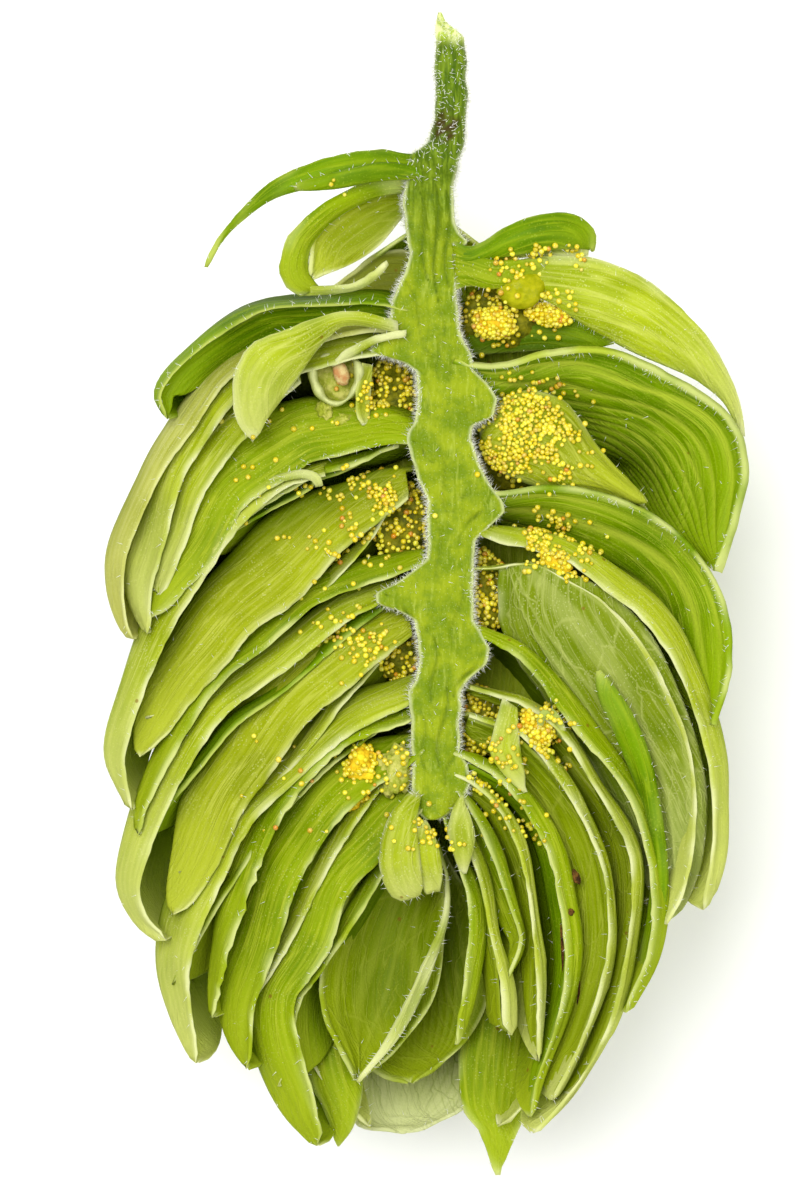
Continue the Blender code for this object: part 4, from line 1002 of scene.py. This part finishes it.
def makeStrig():
    y = np.arange(23.4, -9.0, -0.09)
    edges = []
    for key in ("left", "right"):
        xs, ys = np.array(strig[key]).T
        edge = np.interp(-y, -ys, xs)
        edge[1:-1] = 0.5 * edge[1:-1] + 0.25 * (edge[:-2] + edge[2:])
        edges.append(edge + 0.03 * waves(np.stack([y, y * 0], axis=-1), 0.5, 61 + len(edges)))
    left, right = edges
    half = np.maximum((right - left) / 2, 0.02)
    centre = (right + left) / 2
    front, back = 34, 18
    s = np.concatenate([-np.cos(np.linspace(0, math.pi, front)),
                        np.cos(np.linspace(0, math.pi, back + 2))[1:-1]])
    isFront = np.arange(len(s)) < front
    x = centre[:, None] + half[:, None] * s
    yy = y[:, None] * np.ones_like(x)
    stalk = smoothStep(yy, *strig["stalkFrom"])
    place = np.stack([x, yy], axis=-1)
    roundness = np.sqrt(np.clip(1 - s ** 2, 0, 1))[None, :]
    groove = np.zeros_like(x)
    for line in strig["grooves"]:
        groove = np.maximum(groove, toSegment(x, yy, line))
    inside = half[:, None] * (1 - np.abs(s))
    flat = strig["raise"] * np.clip(inside / 0.22, 0, 1) ** 0.5 - 0.16 * groove
    flat = flat + 0.05 * waves(place * [1.2, 0.5], 1.1, 71) + 0.012 * waves(place, 0.25, 72)
    rod = 0.75 * half[:, None] * roundness + 0.03 * waves(place * [2.2, 0.25], 0.35, 73) * roundness
    pithCut = smoothStep(yy, *strig["pith"]) * (0.35 + 0.25 * waves(place, 0.4, 74))
    frontZ = top + flat * (1 - stalk) + (rod - pithCut * roundness) * stalk
    backDepth = strig["depth"] * (1 - stalk) * np.clip(half[:, None] / 0.8, 0, 1)
    backDepth = backDepth + 1.05 * half[:, None] * stalk
    backZ = top - backDepth * roundness ** 0.9 + 0.04 * waves(place, 0.6, 75) * roundness
    z = np.where(isFront[None, :], frontZ, backZ)
    ring = np.stack([x, yy, z], axis=-1)
    edge = np.exp(-((inside / 0.14) ** 2)) * isFront * (1 - 0.6 * stalk)
    scarX, scarY, scarWide, scarTall = strig["scar"]
    scar = np.exp(-(((x - scarX) / scarWide) ** 2 + ((yy - scarY) / scarTall) ** 2)) * isFront
    scar = np.clip(scar * (1.3 + 1.0 * waves(place, 0.22, 76)), 0, 1)
    pith = smoothStep(yy, *strig["pith"]) * isFront * np.clip(inside / 0.3, 0, 1)
    skin = np.where(isFront, 0.85 * smoothStep(yy, 12.5, 18.0), 0.9) * (1 - 0.8 * pith)
    looks = np.stack([edge, skin, groove, 0.85 * scar], axis=-1).reshape(-1, 4)
    mesh = meshFrom("strigStem", ring.reshape(-1, 3), tubeQuads(*ring.shape[:2]), None, looks)
    closeMesh(mesh)
    finishPiece("strigStem", mesh, tissue["strig"], ("strig",))
    # fur along both margins, 5 columns round the back and 7 onto the face, and a few hairs on the face
    fade = np.concatenate([np.ones(5), np.linspace(1, 0.15, 7)])[None, :]
    leftRim = np.concatenate([ring[:, -5:], ring[:, :7]], axis=1)
    for rim, spots, share in ((leftRim, strig["furLeft"], fade),
                              (ring[:, front - 7:front + 5], strig["furRight"], fade[:, ::-1])):
        beside = sum(np.exp(-((y - spot) / size) ** 4) for spot, size in spots)
        beside = 0.2 + 0.8 * np.clip(beside, 0, 1)
        addCarrier(rim, 2.5 * share * beside[:, None], False, stem=True)
    addCarrier(ring[:, 6:front - 6], 0.02 + 0.5 * stalk[:, 6:front - 6], True, stem=True)


print("strig")
makeStrig()

# small bodies: lupulin heaps, pocket linings painted dark as shade, seed, dry spots

def lump(name, kind, centre, size, turn=0.0, rough=0.12, seed=0, slotName="lupulin", dense=0.0):
    # a closed uneven ellipsoid; centre z is measured from the cut face, size holds its half axes
    rings, around = 20, 30
    polar = np.linspace(0, math.pi, rings + 1)[1:-1]
    azimuth = np.linspace(0, 2 * math.pi, around, endpoint=False)
    flat = np.sin(polar)[:, None]
    unit = np.stack([flat * np.cos(azimuth), flat * np.sin(azimuth),
                     np.cos(polar)[:, None] * np.ones(around)], axis=-1)
    unit = np.vstack([unit.reshape(-1, 3), [[0, 0, 1], [0, 0, -1]]])
    swell = 1 + rough * waves(unit, 0.55, seed + 1) + 0.5 * rough * waves(unit, 0.22, seed + 2)
    body = unit * swell[:, None] * np.array(size)
    c, s = math.cos(turn), math.sin(turn)
    body = np.stack([body[:, 0] * c - body[:, 1] * s, body[:, 0] * s + body[:, 1] * c, body[:, 2]], axis=1)
    body += np.array([centre[0], centre[1], top + centre[2]])
    count = (rings - 1) * around
    first = np.arange(around)
    last = first + count - around
    fans = [np.stack([first, np.roll(first, -1), np.full(around, count)], axis=1),
            np.stack([np.roll(last, -1), last, np.full(around, count + 1)], axis=1)]
    mesh = bpy.data.meshes.new(name)
    faces = tubeQuads(rings - 1, around).tolist() + np.vstack(fans).tolist()
    mesh.from_pydata((body * mm).tolist(), [], faces)
    mesh.shade_smooth()
    # glands stick to the upper part only
    upper = body[:count].reshape(rings - 1, around, 3)[:rings * 6 // 10]
    upper = np.concatenate([upper, upper[:, :1]], axis=1)
    addCarrier(upper, np.zeros(upper.shape[:2]), True, dense=dense)
    finishPiece(name, mesh, tissue[kind])


lumps = [
    # pockets beside the strig, crowded with beads; the dark olive of their linings is painted shade
    dict(name="pocketLeft1", kind="paintedShadeLining", centre=(-1.2, 8.1, -1.9), size=(1.2, 1.5, 0.7), dense=0.55),
    dict(name="pocketLeft2", kind="paintedShadeLining", centre=(-0.9, 3.0, -1.7), size=(1.2, 1.5, 0.7), dense=0.6),
    dict(name="pocketLeft3", kind="paintedShadeLining", centre=(-0.9, -2.1, -1.7), size=(1.0, 1.3, 0.7), dense=0.6),
    dict(name="pocketRight1", kind="paintedShadeLining", centre=(2.4, 0.2, -1.6), size=(0.9, 1.5, 0.7), dense=0.75),
    dict(name="pocketRight2", kind="paintedShadeLining", centre=(2.1, -5.0, -1.6), size=(1.1, 1.4, 0.7), dense=0.75),
    dict(name="pocketRight0", kind="paintedShadeLining", centre=(3.2, 11.2, -1.5), size=(2.0, 1.3, 0.6), dense=0.5),
    dict(name="pocketSeed", kind="paintedShadeLining", centre=(3.0, 5.4, -2.4), size=(1.4, 1.2, 0.6), dense=0.2),
    # clotted resin
    dict(name="heapRightTop", kind="heap", centre=(2.7, 11.0, -0.7), size=(0.8, 0.55, 0.35), dense=1.0),
    dict(name="heapRightTop2", kind="heap", centre=(4.9, 11.3, -0.7), size=(0.9, 0.35, 0.3), dense=1.0,
         turn=-0.2),
    dict(name="heapSeed", kind="heap", centre=(3.4, 5.9, -0.6), size=(0.6, 0.5, 0.35), dense=0.9),
    dict(name="heapRight", kind="heap", centre=(5.2, 1.5, -0.2), size=(0.75, 0.4, 0.3), dense=0.9,
         turn=-0.6),
    dict(name="heapLeftLow", kind="heap", centre=(-2.6, -6.6, -0.3), size=(0.6, 0.75, 0.5), dense=0.35,
         rough=0.22),
    dict(name="heapLeftLow2", kind="heap", centre=(-2.9, -7.9, -0.5), size=(0.5, 0.6, 0.4), dense=0.6,
         rough=0.25),
    dict(name="budCrumpled", kind="crumpled", centre=(-1.2, -6.9, -0.2), size=(0.6, 0.95, 0.4),
         dense=0.25, rough=0.24),
    dict(name="budPouch", kind="amber", centre=(3.8, 12.35, -0.15), size=(0.95, 0.8, 0.5), dense=0.1,
         rough=0.05),
    dict(name="heapFan", kind="heap", centre=(4.4, -5.2, 0.0), size=(0.5, 0.8, 0.25), dense=1.0,
         turn=0.6),
    # dead brown spots
    dict(name="spotBrown1", kind="dry", centre=(6.0, -11.2, -0.3), size=(0.16, 0.3, 0.08), turn=0.4),
    dict(name="spotBrown2", kind="dry", centre=(5.8, -12.6, 0.12), size=(0.12, 0.15, 0.06)),
    dict(name="spotBrown3", kind="dry", centre=(5.5, -14.2, -0.5), size=(0.09, 1.3, 0.08), turn=0.05),
    dict(name="spotBrown4", kind="dry", centre=(6.1, -16.2, -0.7), size=(0.06, 0.8, 0.06), turn=-0.1),
    dict(name="spotBrown5", kind="dry", centre=(6.9, 0.7, -0.3), size=(0.16, 0.45, 0.1), turn=0.3),
    # seed
    dict(name="seedKernel", kind="kernel", centre=(-3.4, 8.95, -0.35), size=(0.33, 0.5, 0.3),
         slotName="seed", rough=0.06, turn=0.3),
    dict(name="seedBed", kind="crumpled", centre=(-3.6, 8.8, -1.0), size=(0.95, 1.1, 0.4),
         slotName="seed", dense=0.1),
    dict(name="seedCrumb1", kind="crumpled", centre=(-4.1, 7.5, -0.7), size=(0.3, 0.35, 0.25), rough=0.3),
    dict(name="seedCrumb2", kind="crumpled", centre=(-3.3, 7.1, -0.8), size=(0.4, 0.3, 0.25), rough=0.3,
         dense=0.3),
]


cup = {
    "centre": (-3.6, 8.8),
    "radius": 0.92,
    "wall": 0.15,            # half its thickness
    "below": 0.45,           # mm from the cut face to the middle of the wall
    "turn": (60, 412),       # degrees over which the wall runs
    "steps": 70,
    "around": 13,
}


def seedCup():
    # the cut wall of the seed's cup: a ring of uneven thickness
    steps, sides = cup["steps"], cup["around"]
    x, y = cup["centre"]
    turn = np.linspace(*np.radians(cup["turn"]), steps)
    wide = cup["radius"] + 0.06 * np.sin(3 * turn)
    outward = np.stack([np.cos(turn), np.sin(turn), np.zeros_like(turn)], axis=1)
    path = np.stack([x + wide * np.cos(turn), y + 1.08 * wide * np.sin(turn), np.zeros_like(turn)], axis=1)
    wall = cup["wall"] + 0.06 * np.sin(2 * turn + 1) + 0.03 * np.sin(7 * turn)
    ends = np.minimum(np.linspace(0, 12, steps), np.linspace(12, 0, steps))
    wall = wall * np.clip(ends + 0.2, 0, 1)
    around = np.linspace(0, 2 * math.pi, sides)
    grid = path[:, None] + outward[:, None] * (wall[:, None] * np.cos(around))[..., None]
    grid[..., 2] = top - cup["below"] + 0.6 * np.sin(around)[None, :] * (wall / cup["wall"])[:, None] * 0.8
    quads = gridQuads(steps, sides)
    looks = np.zeros((steps * sides, 4))
    # paler on the upper half of the wall, with faint ribs
    looks[:, 0] = 0.35 + 0.4 * np.maximum(0, np.tile(np.sin(around), steps))
    looks[:, 2] = 0.3
    mesh = meshFrom("seedCup", grid.reshape(-1, 3), quads, grid.reshape(-1, 3)[:, :2], looks)
    closeMesh(mesh, weld=True)
    finishPiece("seedCup", mesh, tissue["pale"], ("seed_half",))


print("small bodies")
seedCup()
for number, spec in enumerate(lumps):
    lump(seed=2000 + number * 19, **spec)

# glands and hairs, set on the surfaces by Geometry Nodes

scatter = {
    "beadRadius": (0.075, 0.13),   # mm
    "beadGap": 0.135,              # mm between bead centres
    "beadsPerArea": 150.0,         # per square mm where they are densest
    "strayBeads": 0.002,           # share of that everywhere else
    "leastShare": 0.002,           # below this a surface is left bare
    "beadLift": 0.05,              # mm by which a bead's centre stands off its surface
    "hairLength": (0.12, 0.36),    # mm
    "hairWidth": 0.015,
    "hairGap": 0.03,
    "hairLean": 0.8,               # radians
    "hairsPerArea": {"stem": 170.0, "bract": 30.0},
    # x, y, radius and share of full density
    "places": [
        (-3.8, 16.3, 0.4, 0.5), (-2.2, 7.9, 0.8, 0.9), (-2.6, 3.2, 1.9, 0.4), (-1.7, 3.9, 0.8, 0.8),
        (-3.8, 2.6, 3.2, 0.06), (-6.6, 4.6, 3.0, 0.03), (-3.2, -1.6, 1.5, 0.45), (-2.3, -2.0, 0.9, 0.5),
        (-2.4, -6.9, 1.3, 0.4), (-5.6, -7.8, 2.0, 0.05), (2.9, 11.2, 1.1, 0.8), (4.8, 11.4, 1.1, 0.7),
        (3.4, 13.3, 0.7, 0.8), (4.6, 13.5, 0.7, 0.8), (5.8, 13.6, 0.6, 0.6), (4.1, 6.9, 1.9, 1.0),
        (5.2, 6.0, 1.3, 0.75), (3.2, 5.9, 1.2, 1.0), (5.0, 2.2, 1.3, 0.8), (6.2, 1.6, 1.0, 0.5),
        (4.6, -5.4, 1.1, 0.8), (3.3, -6.2, 0.9, 0.5), (5.2, -6.6, 0.6, 0.35), (3.0, -8.2, 1.3, 0.25),
        (4.2, -9.0, 1.0, 0.16), (2.4, -7.2, 0.8, 0.4), (-0.6, -9.2, 0.8, 0.2), (0.6, -9.6, 0.7, 0.5)],
}


def bedMesh(name, pick):
    # one mesh of all carrier surfaces, with the share of full density as a point attribute
    points, quads, dense = [], [], []
    start = 0
    for carrier in carriers:
        grid = carrier["grid"]
        rows, columns = grid.shape[:2]
        share = pick(carrier)
        if share.max() <= scatter["leastShare"]:
            continue
        faces = gridQuads(rows, columns)
        keep = share.ravel()[faces].max(axis=1) > scatter["leastShare"]
        faces = faces[keep] + start
        if carrier["flip"]:
            faces = faces[:, ::-1]
        points.append(grid.reshape(-1, 3))
        quads.append(faces)
        dense.append(share.ravel())
        start += rows * columns
    mesh = meshFrom(name, np.vstack(points), np.vstack(quads))
    layer = mesh.attributes.new("dense", "FLOAT", "POINT")
    layer.data.foreach_set("value", np.clip(np.concatenate(dense), 0, 1).astype(np.float32))
    return mesh


def beadShare(side):
    def pick(carrier):
        grid = carrier["grid"]
        share = np.full(grid.shape[:2], scatter["strayBeads"] * carrier["facesUp"])
        for x, y, radius, most in scatter["places"]:
            gap = np.hypot(grid[..., 0] - x, grid[..., 1] - y)
            share = np.maximum(share, most * np.exp(-(gap / radius) ** 4))
        clumps = np.clip(0.6 + 1.1 * waves(grid, 0.7, 91), 0, 1)
        share = np.clip(share * (clumps + 0.7 * smoothStep(share, 0.6, 0.95)), 0, 1)
        shallow = smoothStep(grid[..., 2], top - 2.6, top - 1.9)
        share = share * shallow * carrier["facesUp"]
        if carrier["dense"]:
            share = np.full(grid.shape[:2], carrier["dense"])
        return share * (side * (grid[..., 0] - 0.9) > 0)
    return pick


def hairShare(onStem):
    def pick(carrier):
        share = np.clip(carrier["hairy"] * (0.4 if onStem else 0.3), 0, 1)
        return share * (onStem == carrier["stem"])
    return pick


def scatterTree(name, shape):
    # spreads one small shape over a bed; its inputs are set on the modifier
    tree = bpy.data.node_groups.new(name, "GeometryNodeTree")
    tree.interface.new_socket("Geometry", in_out="INPUT", socket_type="NodeSocketGeometry")
    for key, kind in (("spacing", "Float"), ("perArea", "Float"), ("sizeLow", "Float"), ("sizeHigh", "Float"),
                      ("lift", "Float"), ("lean", "Float"), ("seed", "Int"), ("material", "Material")):
        tree.interface.new_socket(key, in_out="INPUT", socket_type=f"NodeSocket{kind}")
    tree.interface.new_socket("Geometry", in_out="OUTPUT", socket_type="NodeSocketGeometry")
    given = addNode(tree, "NodeGroupInput").outputs
    dense = addNode(tree, "GeometryNodeInputNamedAttribute", {"data_type": "FLOAT"}, {"Name": "dense"})
    spots = addNode(tree, "GeometryNodeDistributePointsOnFaces", {"distribute_method": "POISSON"}, {
        "Mesh": given["Geometry"], "Distance Min": given["spacing"], "Density Max": given["perArea"],
        "Density Factor": dense.outputs["Attribute"], "Seed": given["seed"]})
    raised = addNode(tree, "ShaderNodeVectorMath", {"operation": "SCALE"}, {
        0: spots.outputs["Normal"], "Scale": given["lift"]})
    moved = addNode(tree, "GeometryNodeSetPosition", None, {
        "Geometry": spots.outputs["Points"], "Offset": raised.outputs[0]})
    lean = addNode(tree, "ShaderNodeCombineXYZ", None, {"X": given["lean"], "Y": given["lean"], "Z": 3.1})
    back = addNode(tree, "ShaderNodeVectorMath", {"operation": "SCALE"}, {0: lean.outputs[0], "Scale": -1.0})
    swing = addNode(tree, "FunctionNodeRandomValue", {"data_type": "FLOAT_VECTOR"}, {
        "Min": back.outputs[0], "Max": lean.outputs[0], "Seed": given["seed"]})
    turned = addNode(tree, "FunctionNodeRotateRotation", {"rotation_space": "LOCAL"}, {
        "Rotation": spots.outputs["Rotation"], "Rotate By": swing.outputs["Value"]})
    size = addNode(tree, "FunctionNodeRandomValue", {"data_type": "FLOAT"})
    tree.links.new(given["sizeLow"], size.inputs[2])
    tree.links.new(given["sizeHigh"], size.inputs[3])
    tree.links.new(given["seed"], size.inputs["Seed"])
    if shape == "bead":
        unit = addNode(tree, "GeometryNodeMeshUVSphere", None, {"Segments": 8, "Rings": 5, "Radius": mm})
    else:
        unit = addNode(tree, "GeometryNodeMeshCone", {"fill_type": "NONE"}, {
            "Vertices": 3, "Side Segments": 1, "Radius Top": 0.0, "Radius Bottom": scatter["hairWidth"] * mm,
            "Depth": mm})
    placed = addNode(tree, "GeometryNodeInstanceOnPoints", None, {
        "Points": moved.outputs[0], "Instance": unit.outputs["Mesh"], "Rotation": turned.outputs[0]})
    if shape == "bead":
        tree.links.new(size.outputs[1], placed.inputs["Scale"])
    else:
        tall = addNode(tree, "ShaderNodeCombineXYZ", None, {"X": 1.0, "Y": 1.0, "Z": size.outputs[1]})
        tree.links.new(tall.outputs[0], placed.inputs["Scale"])
    chance = addNode(tree, "FunctionNodeRandomValue", {"data_type": "FLOAT"})
    tinted = addNode(tree, "GeometryNodeStoreNamedAttribute", {"data_type": "FLOAT", "domain": "INSTANCE"}, {
        "Geometry": placed.outputs[0], "Name": "tint", "Value": chance.outputs[1]})
    real = addNode(tree, "GeometryNodeRealizeInstances", None, {"Geometry": tinted.outputs[0]})
    smooth = addNode(tree, "GeometryNodeSetShadeSmooth", None, {"Geometry": real.outputs[0]})
    coloured = addNode(tree, "GeometryNodeSetMaterial", None, {
        "Geometry": smooth.outputs[0], "Material": given["material"]})
    addNode(tree, "NodeGroupOutput", None, {"Geometry": coloured.outputs[0]})
    return tree


def grow(name, bed, tree, settings):
    # runs the node tree on a bed and keeps the result as a plain mesh
    maker = bpy.data.objects.new(f"{name}Bed", bed)
    bpy.context.scene.collection.objects.link(maker)
    modifier = maker.modifiers.new("scatter", "NODES")
    modifier.node_group = tree
    for item in tree.interface.items_tree:
        if item.in_out == "INPUT" and item.name in settings:
            modifier[item.identifier] = settings[item.name]
    bpy.context.view_layer.update()
    ready = maker.evaluated_get(bpy.context.evaluated_depsgraph_get())
    mesh = bpy.data.meshes.new_from_object(ready)
    mesh.name = name
    maker.modifiers.remove(modifier)
    bpy.data.objects.remove(maker)
    finishPiece(name, mesh, None)
    print(f"  {name}: {len(mesh.polygons)} faces")


print("glands")
beads = scatterTree("scatterBeads", "bead")
for side, title in ((-1, "Left"), (1, "Right")):
    low, high = scatter["beadRadius"]
    grow(f"lupulinGlands{title}", bedMesh(f"beadBed{title}", beadShare(side)), beads, {
        "spacing": scatter["beadGap"] * mm, "perArea": scatter["beadsPerArea"] * 1e6, "sizeLow": low,
        "sizeHigh": high, "lift": scatter["beadLift"] * mm, "lean": 3.0, "seed": 7 + side,
        "material": tissue["resin"]})
print("hairs")
hairs = scatterTree("scatterHairs", "hair")
low, high = scatter["hairLength"]
for title, onStem, slotName in (("strigHairs", True, "stem"), ("bractHairs", False, "bract_pale")):
    grow(title, bedMesh(f"{title}Bed", hairShare(onStem)), hairs, {
        "spacing": scatter["hairGap"] * mm, "sizeLow": low, "sizeHigh": high, "lift": -0.01 * mm,
        "perArea": scatter["hairsPerArea"]["stem" if onStem else "bract"] * 1e6,
        "lean": scatter["hairLean"], "seed": 3, "material": tissue["hair"]})

# stage

stageSpec = {
    "floor": "#F4F4F2",
    "floorSize": 2.0,         # m
    "sky": 0.70,
    "key": (-0.10, 0.10, 0.36, 0.28, 1.55),   # x, y, z, size in m, power in W
    "fill": (0.22, -0.12, 0.30, 0.30, 0.6),
    "viewCentre": (-1.04, -0.16),            # mm
    "viewHeight": 48.08,                     # mm, frame height at the cut face
    "cameraAbove": 0.35,                     # m
}


def makeStage():
    material, tree, _ = newMaterial("paleCard")
    surface = addNode(tree, "ShaderNodeBsdfPrincipled", None, {
        "Base Color": linear(stageSpec["floor"]), "Roughness": 0.9, "Specular IOR Level": 0.2})
    addNode(tree, "ShaderNodeOutputMaterial", None, {"Surface": surface.outputs[0]})
    shape = bmesh.new()
    bmesh.ops.create_grid(shape, x_segments=1, y_segments=1, size=stageSpec["floorSize"] / 2)
    mesh = bpy.data.meshes.new("floor")
    shape.to_mesh(mesh)
    shape.free()
    mesh.materials.append(material)
    floor = bpy.data.objects.new("floor", mesh)
    bpy.context.scene.collection.objects.link(floor)
    world = bpy.data.worlds.new("softSky")
    world.use_nodes = True
    background = world.node_tree.nodes["Background"]
    background.inputs["Color"].default_value = (1, 1, 1, 1)
    background.inputs["Strength"].default_value = stageSpec["sky"]
    bpy.context.scene.world = world
    for name in ("key", "fill"):
        x, y, z, size, power = stageSpec[name]
        light = bpy.data.lights.new(name, "AREA")
        light.shape = "DISK"
        light.size = size
        light.energy = power
        lamp = bpy.data.objects.new(name, light)
        lamp.location = (x, y, z)
        lamp.rotation_mode = "QUATERNION"
        lamp.rotation_quaternion = (Vector((0, 0, 0.008)) - lamp.location).to_track_quat("-Z", "Y")
        bpy.context.scene.collection.objects.link(lamp)
    view = bpy.data.cameras.new("camera")
    view.sensor_width = 36
    view.lens = 36 * stageSpec["cameraAbove"] / (stageSpec["viewHeight"] * mm)
    view.clip_start = 0.01
    camera = bpy.data.objects.new("camera", view)
    x, y = stageSpec["viewCentre"]
    camera.location = (x * mm, y * mm, top * mm + stageSpec["cameraAbove"])
    bpy.context.scene.collection.objects.link(camera)
    bpy.context.scene.camera = camera
    bpy.context.scene.view_settings.view_transform = "Standard"


print("stage")
makeStage()
